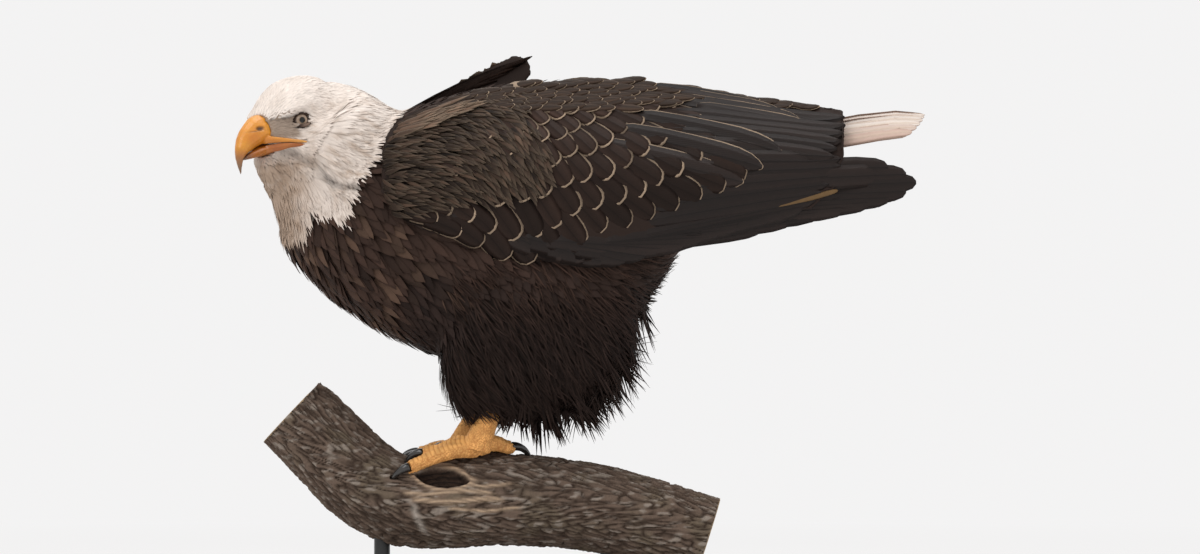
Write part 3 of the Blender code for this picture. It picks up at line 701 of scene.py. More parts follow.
def build_skin():
    """One skin over the body, the wings and the feet, under the feathers."""
    parts = [body_skin()]
    for side, _ in SIDES:
        parts += [foot_skin(side), lid_skin(side)]
    starts = np.cumsum([0] + [len(corners) for corners, _, _ in parts])
    triangles = np.concatenate([part[1] + start for part, start in zip(parts, starts)])
    mesh = mesh_from("skin", np.concatenate([part[0] for part in parts]), triangles)
    set_colours(mesh, "plumage", np.concatenate([part[2] for part in parts]))
    mesh.shade_smooth()
    s = Shader("bird_skin", 0.6, Specular_IOR_Level=0.15)
    s.grained("plumage", 0.35, (0.6, 0.6, 0.6), (1.3, 1.3, 1.3), noise=(900.0, 4.0), bump=(0.35, 0.0006))
    return new_piece("skin", mesh, [s.material], FLESH + WINGS + ["foot_left", "foot_right"])


skin = build_skin()
SKIN_TREE = BVHTree.FromPolygons(*(part.tolist() for part in mesh_arrays(skin.data)))


def clear_of_skin(paths, normals, spare=0.7):
    """Raises the outer part of each shaft that would sink in the skin, with no sharp bend."""
    lift = np.zeros(paths.shape[:2])
    for k in range(1, paths.shape[1]):
        least = spare * min(1.0, k / 2)
        for i, (place, up) in enumerate(zip(paths[:, k], normals[:, k])):
            hit, face_up, _, _ = SKIN_TREE.ray_cast((place + up * 4.0).tolist(), (-up).tolist(), 9.0)
            if hit is not None and np.dot(face_up, up) > 0:
                lift[i, k] = max(0.0, least - np.dot(place - np.array(hit), up))
    fall = 0.35 * np.linalg.norm(np.diff(paths, axis=1), axis=2)
    for k in range(paths.shape[1] - 2, -1, -1):
        lift[:, k] = np.maximum(lift[:, k], lift[:, k + 1] - fall[:, k])
    for k in range(1, paths.shape[1]):
        lift[:, k] = np.maximum(lift[:, k], lift[:, k - 1] - fall[:, k - 1])
    return paths + normals * lift[..., None]


class Unwrap:
    """The skin's own unwrap, made on a thinned copy, to place each feather's patch by its root."""

    def __init__(self, source):
        copy = source.copy()
        copy.data = source.data.copy()
        bpy.context.scene.collection.objects.link(copy)
        copy.parent = None
        thin = copy.modifiers.new("thin", "DECIMATE")
        thin.ratio = 0.06
        mesh = bpy.data.meshes.new_from_object(copy.evaluated_get(bpy.context.evaluated_depsgraph_get()))
        copy.modifiers.clear()
        copy.data = mesh
        bpy.context.view_layer.objects.active = copy
        copy.select_set(True)
        bpy.ops.object.mode_set(mode="EDIT")
        bpy.ops.mesh.select_all(action="SELECT")
        bpy.ops.uv.smart_project(angle_limit=math.radians(60), island_margin=0.006)
        bpy.ops.object.mode_set(mode="OBJECT")
        mesh = copy.data
        corners, triangles = mesh_arrays(mesh)
        self.guide = Guide(corners, triangles)
        loops = np.empty(len(mesh.loop_triangles) * 3, int)
        mesh.loop_triangles.foreach_get("loops", loops)
        uv = np.empty(len(mesh.loops) * 2)
        mesh.uv_layers.active.data.foreach_get("uv", uv)
        self.uv = uv.reshape(-1, 2)[loops.reshape(-1, 3)]
        bpy.data.objects.remove(copy, do_unlink=True)

    def at(self, points):
        _, faces, weights = self.guide.nearest(points)
        return np.einsum("ij,ijk->ik", weights, self.uv[faces])


unwrap = Unwrap(skin)


# ---------------------------------------------------------------- feathers

# Outlines: shares of the length from root to tip, and the half width there.
SHAPES = {
    "contour": ((0, 0.2, 0.45, 0.7, 0.88, 0.97, 1), (0.4, 0.75, 1, 0.97, 0.7, 0.36, 0.1)),
    "pointed": ((0, 0.2, 0.45, 0.7, 0.88, 1), (0.45, 0.85, 1, 0.74, 0.4, 0.05)),
    "lance": ((0, 0.25, 0.55, 0.82, 1), (0.55, 1, 0.85, 0.42, 0.05)),
    "strand": ((0, 0.35, 0.72, 1), (0.8, 1, 0.62, 0.06)),
    "plume": ((0, 0.3, 0.55, 0.8, 1), (0.8, 1, 0.9, 0.55, 0.06)),
    "square": ((0, 0.15, 0.4, 0.62, 0.8, 0.9, 0.96, 1), (0.55, 0.8, 0.95, 1, 0.97, 0.86, 0.66, 0.3)),
    "quill": ((0, 0.1, 0.3, 0.55, 0.8, 0.91, 0.965, 0.99, 1), (0.5, 0.8, 1, 1, 1, 0.96, 0.8, 0.52, 0.15)),
    "flight": ((0, 0.1, 0.3, 0.5, 0.7, 0.82, 0.91, 0.965, 1), (0.5, 0.8, 0.95, 1, 1, 0.9, 0.7, 0.42, 0.1)),
}
# Cross sections: place across the vane, and height, ridge up and hollow below.
SECTIONS = {
    4: ((-1, 0), (0, 1), (1, 0), (0, -0.3)),
    6: ((-1, 0), (-0.5, 0.8), (0, 1.15), (0.5, 0.8), (1, 0), (0, -0.3)),
    8: ((-1, 0), (-0.55, 0.75), (-0.06, 0.8), (0, 1.6), (0.06, 0.8), (0.55, 0.75), (1, 0), (0, -0.3)),
}


class Coat:
    """Feathers gathered for one piece: closed thin vanes in one mesh."""

    def __init__(self, name, material, slot, soft=0.0):
        """Soft is how far each vane's shading takes the lie of the whole coat, so that vanes melt together."""
        self.name, self.material, self.slot, self.soft = name, material, slot, soft
        self.parts = []
        self.seed = sum(ord(letter) for letter in name)

    def add(self, paths, normals, half_width, shape, sides, thick, droop, ragged=0.0, *, paint, spare=0.7):
        """Adds feathers whose shafts follow paths (feather, section, xyz), their upper side along normals.

        half_width is one number a feather, and paint gives the colours at (feather, section, across) shares.
        The outer part of each shaft lies at least spare above the skin."""
        rng = np.random.default_rng(self.seed + len(self.parts))
        paths = clear_of_skin(paths, normals, spare)
        section = np.array(SECTIONS[sides], float)
        widths = np.array(SHAPES[shape][1])[None, :] * np.asarray(half_width, float)[:, None]
        run = unit(np.gradient(paths, axis=1))
        level = run - normals * np.einsum("ijk,ijk->ij", run, normals)[..., None]
        side = unit(np.cross(level, normals))
        up = unit(np.cross(side, run))
        agree = smooth_step(np.einsum("ijk,ijk->ij", up, normals), 0.4, 0.85)[..., None]
        across, height = section[:, 0], section[:, 1]
        reach = widths[:, :, None] * across
        if ragged:
            reach = reach * (1 + ragged * (rng.random(reach.shape) - 0.5) * np.abs(across))
        rise = thick * np.minimum(1.0, widths / np.asarray(half_width)[:, None] + 0.25)[:, :, None] * height
        rise = rise - droop * np.abs(reach) * np.abs(across)
        corners = paths[:, :, None] + side[:, :, None] * reach[..., None] + up[:, :, None] * rise[..., None]
        along = np.array(SHAPES[shape][0])
        shares = np.broadcast_to(along[None, :, None], reach.shape)
        acrosses = np.broadcast_to(across[None, None, :], reach.shape)
        colours = paint(shares, acrosses)
        lay = np.broadcast_to(unit(up + (normals - up) * agree)[:, :, None], corners.shape)
        self.parts.append((corners, colours, shares, acrosses, unwrap.at(paths[:, 0]), lay))

    def vanes(self):
        """All corners, the corners round each quad, and each corner's lie, colour and two unwraps."""
        corners, quads, lays, colours, vane, patch = [], [], [], [], [], []
        start = 0
        for points, paint, shares, acrosses, roots, lay in self.parts:
            count, rows, ring = points.shape[:3]
            index = np.arange(rows * ring).reshape(rows, ring)
            after = np.roll(index, -1, axis=1)
            sides = np.stack((index[:-1], after[:-1], after[1:], index[1:]), -1).reshape(-1, 4)
            caps = []
            for row, order in ((0, -1), (rows - 1, 1)):
                for k in range(1, ring - 1, 2):
                    cap = [index[row, 0], index[row, k], index[row, k + 1], index[row, (k + 2) % ring]]
                    caps.append(cap[::order])
            one = np.concatenate((sides, np.array(caps)))
            every = start + np.arange(count)[:, None, None] * rows * ring + one[None]
            uv = np.stack(((acrosses + 1) / 2, shares), -1)
            place = roots[:, None, None, :] + PATCH * (uv - 0.5)
            quads.append(every.reshape(-1, 4))
            corners.append(points.reshape(-1, 3))
            lays.append(lay.reshape(-1, 3))
            colours.append(paint.reshape(-1, 3))
            vane.append(uv.reshape(-1, 2))
            patch.append(np.clip(place, 0.0, 1.0).reshape(-1, 2))
            start += count * rows * ring
        return [np.concatenate(values) for values in (corners, quads, lays, colours, vane, patch)]

    def finish(self, nodes=()):
        """Makes the mesh of all the feathers, and the piece."""
        corners, quads, lays, colours, vane, patch = self.vanes()
        loops = quads.ravel()
        mesh = bpy.data.meshes.new(self.name)
        mesh.vertices.add(len(corners))
        mesh.vertices.foreach_set("co", (corners * MM).astype(np.float32).ravel())
        mesh.loops.add(len(loops))
        mesh.loops.foreach_set("vertex_index", loops.astype(np.int32))
        mesh.polygons.add(len(quads))
        mesh.polygons.foreach_set("loop_start", np.arange(0, len(loops), 4, dtype=np.int32))
        mesh.update(calc_edges=True)
        for layer, values in (("vane", vane), ("OFBake", patch)):
            uv = mesh.uv_layers.new(name=layer)
            uv.data.foreach_set("uv", values[loops].astype(np.float32).ravel())
        mesh.uv_layers.active = mesh.uv_layers["OFBake"]
        set_colours(mesh, "plumage", colours)
        mesh.shade_smooth()
        mesh.validate()
        if self.soft:
            self.soften(mesh, corners, quads, lays)
        print(f"{self.name}: {2 * len(quads)} triangles")
        return new_piece(self.name, mesh, [self.material], nodes)

    def soften(self, mesh, corners, quads, lay):
        """Turns the shading of each face towards the lie of the coat, and never past the face's own side."""
        own = np.empty(len(corners) * 3, np.float32)
        mesh.vertex_normals.foreach_get("vector", own)
        own = own.reshape(-1, 3)[quads]
        points = corners[quads]
        face = unit(np.cross(points[:, 2] - points[:, 0], points[:, 3] - points[:, 1]))[:, None]
        lay = lay[quads]
        lay = lay * np.where((lay * face).sum(-1, keepdims=True) < 0, -1.0, 1.0)
        shade = unit(own * (1 - self.soft) + lay * self.soft)
        away = (shade * face).sum(-1) < 0.2
        shade[away] = np.broadcast_to(face, shade.shape)[away]
        mesh.normals_split_custom_set(shade.reshape(-1, 3).tolist())


# Which way the feathers lie: a place on the bird, the direction there and how far it rules.
HEAD_LIE = [
    ((0, 0, 0), (-1, 0, 0.45), 20),
    ((-20, 0, 18), (-1, 0, 0.4), 20),
    ((-22, 22, -2), (-1, 0.25, 0.05), 16),
    ((-48, 0, 36), (-1, 0, 0), 28),
    ((-60, 38, -8), (-1, 0, -0.12), 24),
    ((-20, 20, -30), (-1, 0.2, -0.2), 16),
    ((-88, 0, 26), (-0.96, 0, -0.2), 26),
    ((-98, 24, 0), (-0.88, 0, -0.4), 26),
    ((-60, 34, -42), (-0.8, 0, -0.6), 24),
    ((-6, 0, -47), (-0.7, 0, -0.7), 18),
    ((-32, 0, -58), (-0.55, 0, -0.85), 24),
]
BODY_LIE = [
    ((-212, -30, 490), (0.3, 0, -1), 22),
    ((-213, -14, 458), (0.3, 0, -1), 26),
    ((-198, 0, 428), (0.35, 0, -0.93), 26),
    ((-172, 56, 462), (0.5, 0, -0.86), 30),
    ((-130, 58, 500), (0.9, 0, -0.42), 28),
    ((-140, 45, 535), (1, 0, -0.5), 26),
    ((-172, 60, 515), (0.9, 0, -0.5), 20),
    ((-150, 50, 440), (0.6, 0, -0.8), 28),
    ((-128, 10, 560), (1, 0, -0.3), 30),
    ((-105, 30, 550), (1, 0, -0.1), 30),
    ((-185, 25, 405), (0.55, 0, -0.84), 34),
    ((-130, 55, 350), (0.78, 0, -0.62), 40),
    ((-60, 45, 312), (0.94, 0, -0.34), 40),
    ((20, 0, 292), (1, 0, -0.05), 45),
    ((-90, 82, 430), (0.75, 0, -0.66), 40),
    ((0, 92, 380), (0.85, 0, -0.5), 45),
    ((-60, 20, 552), (1, 0, 0.1), 45),
    ((60, 20, 577), (1, 0, 0), 55),
    ((200, 20, 566), (1, 0, -0.12), 60),
    ((150, 70, 400), (1, 0, 0.1), 45),
    ((220, 20, 420), (1, 0, 0.35), 45),
    ((300, 15, 460), (1, 0, 0.4), 45),
    ((60, 88, 385), (0.35, 0, -0.93), 34),
    ((-32, 48, 330), (0.05, 0, -1), 34),
    ((128, 48, 345), (0.5, 0, -0.86), 34),
    ((40, 76, 300), (0.15, 0, -1), 34),
    ((100, 45, 275), (0.4, 0, -0.92), 30),
    ((20, 34, 245), (0.05, 0, -1), 30),
]


def lie_table():
    places, directions, reaches = [], [], []
    for (a, b, c), run, reach in HEAD_LIE:
        for sign in (1, -1):
            places.append(head_place(a, b * sign, c))
            directions.append(np.array((run[0], run[1] * sign, run[2])) @ HEAD)
            reaches.append(reach)
    for (x, y, z), run, reach in BODY_LIE:
        for sign in (1, -1):
            places.append(np.array((x, y * sign, z)))
            directions.append(np.array(run))
            reaches.append(reach)
    return np.array(places), unit(np.array(directions)), np.array(reaches, float)


LIE_PLACES, LIE_RUNS, LIE_REACH = lie_table()


def lie(points):
    """The direction in which feathers lie at the points, blended from the table."""
    away = ((points[:, None] - LIE_PLACES[None]) ** 2).sum(-1) / LIE_REACH**2
    weight = np.exp(-away / 2 + away.min(axis=1, keepdims=True) / 2)
    return unit(weight @ LIE_RUNS)


def laid(guide, roots, lengths, shape, flow, depth, lift, cling=1.0, turn=0.0, rng=None, fall=0.0, loose=0.6):
    """Shaft paths of feathers on the guide from their roots, rising from depth below it to lift above it.

    Past the share cling of its length a feather leaves the guide and goes straight on, falling a little. Tips
    stand up to loose above each other."""
    shares = np.array(SHAPES[shape][0])
    place, normal = guide.settle(roots)
    run = flow(place)
    swing = rng.normal(0.0, turn, len(roots)) if turn else np.zeros(len(roots))
    paths, normals = [place], [normal]
    for k in range(1, len(shares)):
        run = unit(run - normal * np.einsum("ij,ij->i", run, normal)[:, None])
        side = np.cross(normal, run)
        ahead = run * np.cos(swing)[:, None] + side * np.sin(swing)[:, None]
        step = (lengths * (shares[k] - shares[k - 1]))[:, None]
        if shares[k] <= cling:
            place, normal = guide.settle(place + ahead * step)
            run = unit(0.5 * run + 0.5 * flow(place))
        else:
            ahead = unit(ahead - np.array((0.0, 0.0, fall)))
            place = place + ahead * step
        paths.append(place)
        normals.append(normal)
    paths, normals = np.stack(paths, 1), np.stack(normals, 1)
    ease = np.sin(shares * math.pi / 2) ** 1.4
    height = -depth * (1 - ease) + lift * shares**2
    jitter = rng.random(len(roots))[:, None] * loose * shares
    return paths + normals * (height + jitter)[..., None], normals


def standing(paths, normals, height, shape, power):
    """The paths with each feather's tip raised by its height, and its root left where it is."""
    return paths + normals * (height[:, None] * np.array(SHAPES[shape][0]) ** power)[..., None]


def tinted(colour, rng, spread=0.12, tip=None, edge=None, edge_from=0.8, shaft=None, root_shade=0.18):
    """A paint for feathers: each its own colour or one a section, a little lighter or darker.

    Tip, edge and shaft can have colours of their own."""
    shade = np.clip(1 + rng.normal(0.0, spread, len(colour)), 0.5, 1.6)
    base = (colour.T * shade).T
    if base.ndim == 2:
        base = base[:, None]

    def paint(shares, acrosses):
        out = np.broadcast_to(base[:, :, None, :], (*shares.shape, 3)).copy()
        # Painted shade: each feather darker towards its root, where it lies under the ones above.
        out *= (1 - root_shade + root_shade * smooth_step(shares, 0.2, 0.8))[..., None]
        middle = (1 - smooth_step(np.abs(acrosses), 0.0, 0.12)) * smooth_step(shares, 0, 0.3)
        rim = smooth_step(np.abs(acrosses), edge_from, 1.0)
        for target, share in ((shaft, middle), (edge, rim), (tip, smooth_step(shares, 0.7, 1.0))):
            if target is not None:
                out += (np.asarray(target) - out) * share[..., None]
        return out

    return paint


def face_marking(points):
    """The marking with the grey-brown lores and a painted shadow line under the brow."""
    a, b, c = in_head(points).T
    line = BROW_SHADOW_LINE + 0.28 * np.maximum(0.0, -20 - a)
    lores = smooth_step(a, -32, -25) * smooth_step(c, -31, -25) * (1 - smooth_step(c - line, -1, 1))
    colour = toward(marking(points), LORES, 0.9 * lores * (np.abs(b) > 6))
    # Painted shadow of the brow: a dark line from the bill's root back over the eye.
    brow = bell(c - line, 1.4) * smooth_step(a, -37, -32) * smooth_step(np.abs(b), 10, 15)
    return colour * (1 - 0.6 * brow)[:, None]


def keep_off_face(points):
    """One where feathers may stand on the head: off the eyes, the bill, its cere and the mouth's corners."""
    a, b, c = in_head(points).T
    wanted = np.ones(len(points))
    for side, sign in SIDES:
        look, front, up = eye_axes(-sign)
        away = points - eye_centre(side)
        u, v = away @ front, away @ up
        across, along = (u - 1.0) / (EYELID_HALF_LENGTH + 1.6), (v + 0.3) / (EYELID_HALF_HEIGHT + 1.2)
        wanted[(across**2 + along**2 < 1) & ((away @ look) > 0)] = 0
    bill = (a > -0.8) & (c > -34)
    gape = (np.abs(c + 32.8 + 0.12 * (a + 20)) < 3.0) & (a > -30) & (np.abs(b) > 7)
    wanted[bill | gape] = 0
    return wanted


WHITE_SOFTNESS, BROWN_SOFTNESS, THIGH_SOFTNESS = 0.8, 0.55, 0.5


def on_head(points):
    """One on the cranium and face, zero on the neck."""
    a = in_head(points)[:, 0]
    return ((a > -96) & (collar_height(points) > 58)).astype(float)


def face_coat(white, rng):
    """Small white feathers on the face and crown."""
    coat = Coat("coat_face", white, "head_feathers", WHITE_SOFTNESS)

    def forehead(points):
        a, _, c = in_head(points).T
        near = smooth_step(a, -56, -44) * (1 - smooth_step(np.abs(c + 12), 34, 44))
        return on_head(points) * keep_off_face(points) * (near > 0.5)

    def crown(points):
        return on_head(points) * keep_off_face(points) * (forehead(points) < 0.5)

    roots = body_guide.scatter(1.75, forehead, 1)
    size = 0.6 + 0.4 * smooth_step(-in_head(roots)[:, 0], 5, 45)
    length = 8.5 * size
    paths, normals = laid(body_guide, roots, length, "strand", lie, 0.6, 0.1, turn=0.06, rng=rng, loose=0.12)
    paint = tinted(at_sections(face_marking, paths), rng, 0.045, root_shade=0.03)
    coat.add(paths, normals, 1.6 * size, "strand", 4, 0.07, 0.01, paint=paint, spare=0.4)

    roots = body_guide.scatter(2.25, crown, 2)
    size = 0.8 + 0.6 * smooth_step(-in_head(roots)[:, 0], 45, 95)
    length = 12.0 * size
    paths, normals = laid(body_guide, roots, length, "lance", lie, 1.0, 0.1, turn=0.06, rng=rng, loose=0.15)
    paint = tinted(at_sections(face_marking, paths), rng, 0.045, root_shade=0.03)
    coat.add(paths, normals, 2.2 * size, "lance", 4, 0.08, 0.01, paint=paint)
    coat.finish()


def neck_coat(white, rng):
    """Narrow white locks on the neck over a layer of broad feathers."""
    coat = Coat("coat_neck", white, "head_feathers", WHITE_SOFTNESS)

    def collar(points):
        return ((on_head(points) < 0.5) & (collar_height(points) > 17)).astype(float) * keep_off_face(points)

    roots = body_guide.scatter(6.0, collar, 29)
    length = 20 + 4 * rng.random(len(roots))
    paths, normals = laid(body_guide, roots, length, "pointed", lie, 3.2, 0.0, rng=rng, loose=0.2)
    paint = tinted(at_sections(pale_marking, paths), rng, 0.04, root_shade=0.04)
    coat.add(paths, normals, np.full(len(roots), 4.6), "pointed", 6, 0.2, 0.03, paint=paint, spare=0.15)
    for layer in range(2):
        roots = body_guide.scatter(3.0, collar, 30 + layer)
        throat = smooth_step(-in_head(roots)[:, 2], 40, 70) * smooth_step(-roots[:, 0], 170, 210)
        length = 22 + 12 * rng.random(len(roots))
        paths, normals = laid(body_guide, roots, length, "plume", lie, 2.0, 0.3 + 0.3 * layer, cling=0.8,
                              turn=0.07, rng=rng, fall=0.06, loose=0.25)
        stand = 0.3 + 2.4 * throat * rng.random(len(roots))
        paths = standing(paths, normals, stand, "plume", 2)
        pale = at_sections(pale_marking, paths)
        half_width = 1.8 + 0.4 * rng.random(len(roots))
        paint = tinted(pale, rng, 0.06, root_shade=0.04)
        coat.add(paths, normals, half_width, "plume", 4, 0.10, 0.01, paint=paint, spare=0.5 + 0.3 * layer)
    ruff(coat, rng)
    coat.finish()


def ruff(coat, rng):
    """The long white locks that end the collar in ragged points over the brown."""

    def rim(points):
        return (np.abs(collar_height(points) - 21) < 9).astype(float)

    roots = body_guide.scatter(6.5, rim, 47)
    _, normal = body_guide.settle(roots)
    spread = unit(np.cross(lie(roots), normal))
    length = 19 + 9 * rng.random(len(roots))
    swing = rng.normal(0, 0.12, len(roots))
    for strand in range(-3, 4):

        def flow(points, strand=strand):
            return unit(lie(points) + spread * (swing - 0.045 * strand)[:, None])

        start = roots + spread * (strand * 1.3 + rng.normal(0, 0.3, len(roots)))[:, None]
        reach = length * (1 - 0.06 * abs(strand)) + rng.normal(0, 1.5, len(roots))
        paths, normals = laid(body_guide, start, reach, "plume", flow, 2.0, 1.5, turn=0.04, rng=rng)
        paint = tinted(at_sections(pale_marking, paths), rng, 0.06, root_shade=0.05)
        coat.add(paths, normals, np.full(len(roots), 1.35), "plume", 4, 0.2, 0.02, paint=paint)


def under_wing(points):
    """Whether a wing lies over each point of the body."""
    _, normals = body_guide.settle(points)
    hidden = np.zeros(len(points), bool)
    for i, (place, up) in enumerate(zip(points.tolist(), normals.tolist())):
        side = (0.0, math.copysign(1.0, place[1]), 0.0)
        for guide in wing_guides.values():
            for way, far in ((up, 26.0), (side, 7.0 if place[0] < 215 else 26.0)):
                hidden[i] |= guide.tree.ray_cast(place, way, far)[0] is not None
    return hidden


def body_coat():
    """Broad pointed feathers over the breast, back, flanks and belly, and the white tail coverts."""
    rng = np.random.default_rng(21)
    dark = feather_material("brown_feathers", 0.7, 0.5, 0.08)
    coat = Coat("coat_body", dark, "body_feathers", BROWN_SOFTNESS)

    def trunk(points):
        x, y, z = points.T
        thigh = (z < 372) & (x > -42) & (x < 165) & (np.abs(y) > 6)
        lower = (z < 330) & (x > -50) & (x < 150)
        return ((collar_height(points) < 22) & ~thigh & ~lower).astype(float)

    roots = body_guide.scatter(7.0, trunk, 3)
    roots = roots[~under_wing(roots)]
    x = roots[:, 0]
    front = smooth_step(-x, -20, 60)
    length = 24 + 8 * front + 5 * rng.random(len(roots))
    lift = (0.4 + 1.4 * rng.random(len(roots)) ** 3) * (1 - smooth_step(collar_height(roots), -15, 5))
    paths, normals = laid(body_guide, roots, length, "pointed", lie, 5.5, 0.6, turn=0.14, rng=rng)
    paths = standing(paths, normals, lift, "pointed", 3)
    colour = np.where((x < 0)[:, None], brown_marking(paths[:, -2]), marking(paths[:, -2]))
    paint = tinted(colour, rng, 0.2)
    coat.add(paths, normals, np.full(len(roots), 5.6), "pointed", 6, 0.32, 0.09, 0.3, paint=paint)
    coat.finish()


def thigh_coat():
    """Loose, wispy feathers over the thighs, split into strands that hang past the leg."""
    rng = np.random.default_rng(31)
    black = feather_material("thigh_feathers", 0.75, 0.4, 0.08)
    coat = Coat("coat_thighs", black, "body_feathers", THIGH_SOFTNESS)

    def thighs(points):
        x, y, z = points.T
        return ((z < 405) & (x > -46) & (x < 165) & (np.abs(y) > 4)).astype(float) * (collar_height(points) < 0)

    roots = body_guide.scatter(8.2, thighs, 4)
    x, _, z = roots.T
    _, normal = body_guide.settle(roots)
    spread = unit(np.cross(lie(roots), normal))
    free = smooth_step(x, 40, 120) * smooth_step(-z, -360, -250)
    for strand in range(7):
        fan = (strand - 3) * (-0.03 if strand % 3 else 0.10)
        offset = (strand - 3) * 1.25 + rng.normal(0, 0.5, len(roots))
        length = 34 + 10 * rng.random(len(roots)) + 6 * smooth_step(x, 60, 130)

        def flow(points, fan=fan):
            run = lie(points)
            side = unit(np.cross(run, np.broadcast_to((0.0, 1.0, 0.0), run.shape)))
            return unit(run + side * fan)

        paths, normals = laid(body_guide, roots + spread * offset[:, None], length, "strand", flow, 5.0,
                              0.6, cling=0.68, turn=0.16, rng=rng, fall=0.16)
        paths = standing(paths, normals, 4.0 * free, "strand", 2)
        paint = tinted(marking(roots), rng, 0.3)
        coat.add(paths, normals, np.full(len(roots), 1.2), "strand", 4, 0.4, 0.0, paint=paint)
    wisps(coat, rng)
    coat.finish()


def wisps(coat, rng):
    """Longer locks that hang in ragged points from the rear and the lower rim of the thighs."""

    def rim(points):
        x, y, z = points.T
        line = np.interp(x, (-20, 30, 90, 130, 160), (250, 262, 288, 318, 372))
        return ((z < line) & (x > -30) & (x < 165) & (np.abs(y) > 10)).astype(float)

    roots = body_guide.scatter(10.5, rim, 9)
    length = 35 + 42 * rng.random(len(roots)) ** 2 * smooth_step(roots[:, 0], -10, 80)
    swing = rng.normal(0.0, 0.2, len(roots))
    hang = 4 + (8 + 20 * rng.random(len(roots)) ** 2) * smooth_step(roots[:, 0], 10, 60)

    def flow(points):
        lean = swing + np.interp(points[:, 0], (-30, 40, 100, 160), (-0.05, 0.1, 0.5, 0.95))
        return unit(np.stack((lean, 0 * lean, -np.ones(len(lean))), 1))

    for strand in range(-2, 3):
        start = roots + (strand * 1.5, 0.0, 0.0) + rng.normal(0, 0.4, roots.shape)
        paths, normals = laid(body_guide, start, length * (1 - 0.07 * abs(strand)), "plume", flow, 4.0, 1.0,
                              cling=0.3, turn=0.1, rng=rng, fall=0.05)
        share = np.array(SHAPES["plume"][0])[None, :, None]
        tip = share * np.array((-strand * 1.3, 0.0, 0.0)) + share**1.6 * (hang[:, None] * flow(roots))[:, None]
        paint = tinted(np.tile(BLACK_BROWN, (len(roots), 1)), rng, 0.3)
        coat.add(paths + tip, normals, np.full(len(roots), 1.3), "plume", 4, 0.4, 0.0, paint=paint)


# ---------------------------------------------------------------- wings and tail

# How steeply wing coverts point down towards their tips, in degrees, along x.
COVERT_SLOPE = ((-95, -60, -20, 20, 50, 90, 130, 170, 220, 300, 360), (4, 8, 26, 52, 62, 54, 43, 34, 24, 12, 4))
# Rows of coverts: the tips' line (x, z), half width and length.
COVERT_ROWS = [
    ([(-40, 436), (-10, 418), (16, 406), (42, 397), (80, 402), (125, 424), (160, 436), (195, 447), (230, 462),
      (265, 481)], 14.0, 84),
    ([(-50, 452), (-14, 441), (15, 425), (45, 416), (72, 428), (98, 445), (130, 452), (158, 460), (182, 476),
      (206, 488), (222, 501), (234, 517)], 13.0, 66),
    ([(-40, 468), (0, 458), (30, 455), (62, 460), (95, 476), (122, 480), (150, 494), (176, 512), (204, 528),
      (222, 540)], 12.0, 54),
    ([(-20, 484), (20, 480), (55, 486), (90, 500), (120, 508), (145, 526), (170, 542), (195, 553)], 10.5, 46),
    ([(0, 502), (35, 504), (70, 516), (100, 528), (128, 543), (158, 558)], 9.0, 38),
    ([(10, 520), (45, 524), (80, 538), (110, 553)], 7.5, 32),
]
# Tips of the folded primaries (x, z), from the topmost down.
FOLDED_PRIMARY_TIPS = [
    (406, 489), (424, 482), (434, 474), (424, 465), (408, 459), (388, 454), (364, 449), (338, 444), (310, 438),
    (280, 431),
]
# Tips of the lowest row of long feathers (x, z), under the middle of the wing.
LOWEST_TIPS = [(84, 397), (142, 394), (202, 411), (262, 432), (322, 449)]
# Groups of long feathers: tips (x, z), count, half width, length, depth at root and tip, slopes, rim.
LONG_FEATHERS = [
    (LOWEST_TIPS, 13, 13.0, 130, 6.4, 4.2, (25, 14, 2, -6, -9), 0.0),
    ([(334, 455), (346, 469), (356, 484), (364, 500)], 6, 11.0, 190, 5.6, 3.4, (-9, -6, -4, -2), 0.0),
    ([(352, 500), (356, 511), (360, 521), (363, 531), (363, 541)], 6, 11.5, 170, 4.6, 1.6, (3, 3, 3), 0.0),
    ([(262, 474), (282, 490), (300, 505)], 3, 14.0, 150, 4.0, 2.0, (14, 14, 14), 1.0),
    ([(334, 528), (314, 540), (286, 549)], 4, 11.0, 120, 3.0, 0.8, (14, 10, 6), 0.8),
]


def slope_flow(points):
    angle = np.radians(np.interp(points[:, 0], *COVERT_SLOPE))
    return np.stack((np.cos(angle), np.zeros(len(angle)), -np.sin(angle)), 1)


def on_wing(side, sign, xz):
    """Places on the wing's outer side for (x, z) pairs."""
    guide = wing_guides[side]
    places = []
    for x, z in xz:
        hit, _, _, _ = guide.tree.ray_cast((x, sign * 300.0, z), (0.0, -sign, 0.0))
        places.append(tuple(hit) if hit is not None else (x, sign * 90.0, z))
    return guide.settle(np.array(places, float))


def traced(guide, tips, lengths, shape, flow, depth_root, depth_tip):
    """Shaft paths laid backwards from tips on the guide, so that the tips fall where they are wanted."""
    shares = np.array(SHAPES[shape][0])[::-1]
    place, normal = guide.settle(tips)
    run = -flow(place)
    paths, normals = [place], [normal]
    for k in range(1, len(shares)):
        run = unit(run - normal * np.einsum("ij,ij->i", run, normal)[:, None])
        step = (lengths * (shares[k - 1] - shares[k]))[:, None]
        place, normal = guide.settle(place + run * step)
        run = -flow(place)
        paths.append(place)
        normals.append(normal)
    paths, normals = np.stack(paths[::-1], 1), np.stack(normals[::-1], 1)
    at = np.array(SHAPES[shape][0])
    depth = depth_root + (depth_tip - depth_root) * at
    return paths - normals * depth[None, :, None], normals


def leaning(paths, normals, lean):
    """The normals tipped over sideways, so that each feather's rear edge tucks under the next one."""
    run = unit(np.gradient(paths, axis=1))
    return unit(normals + np.cross(run, normals) * lean)


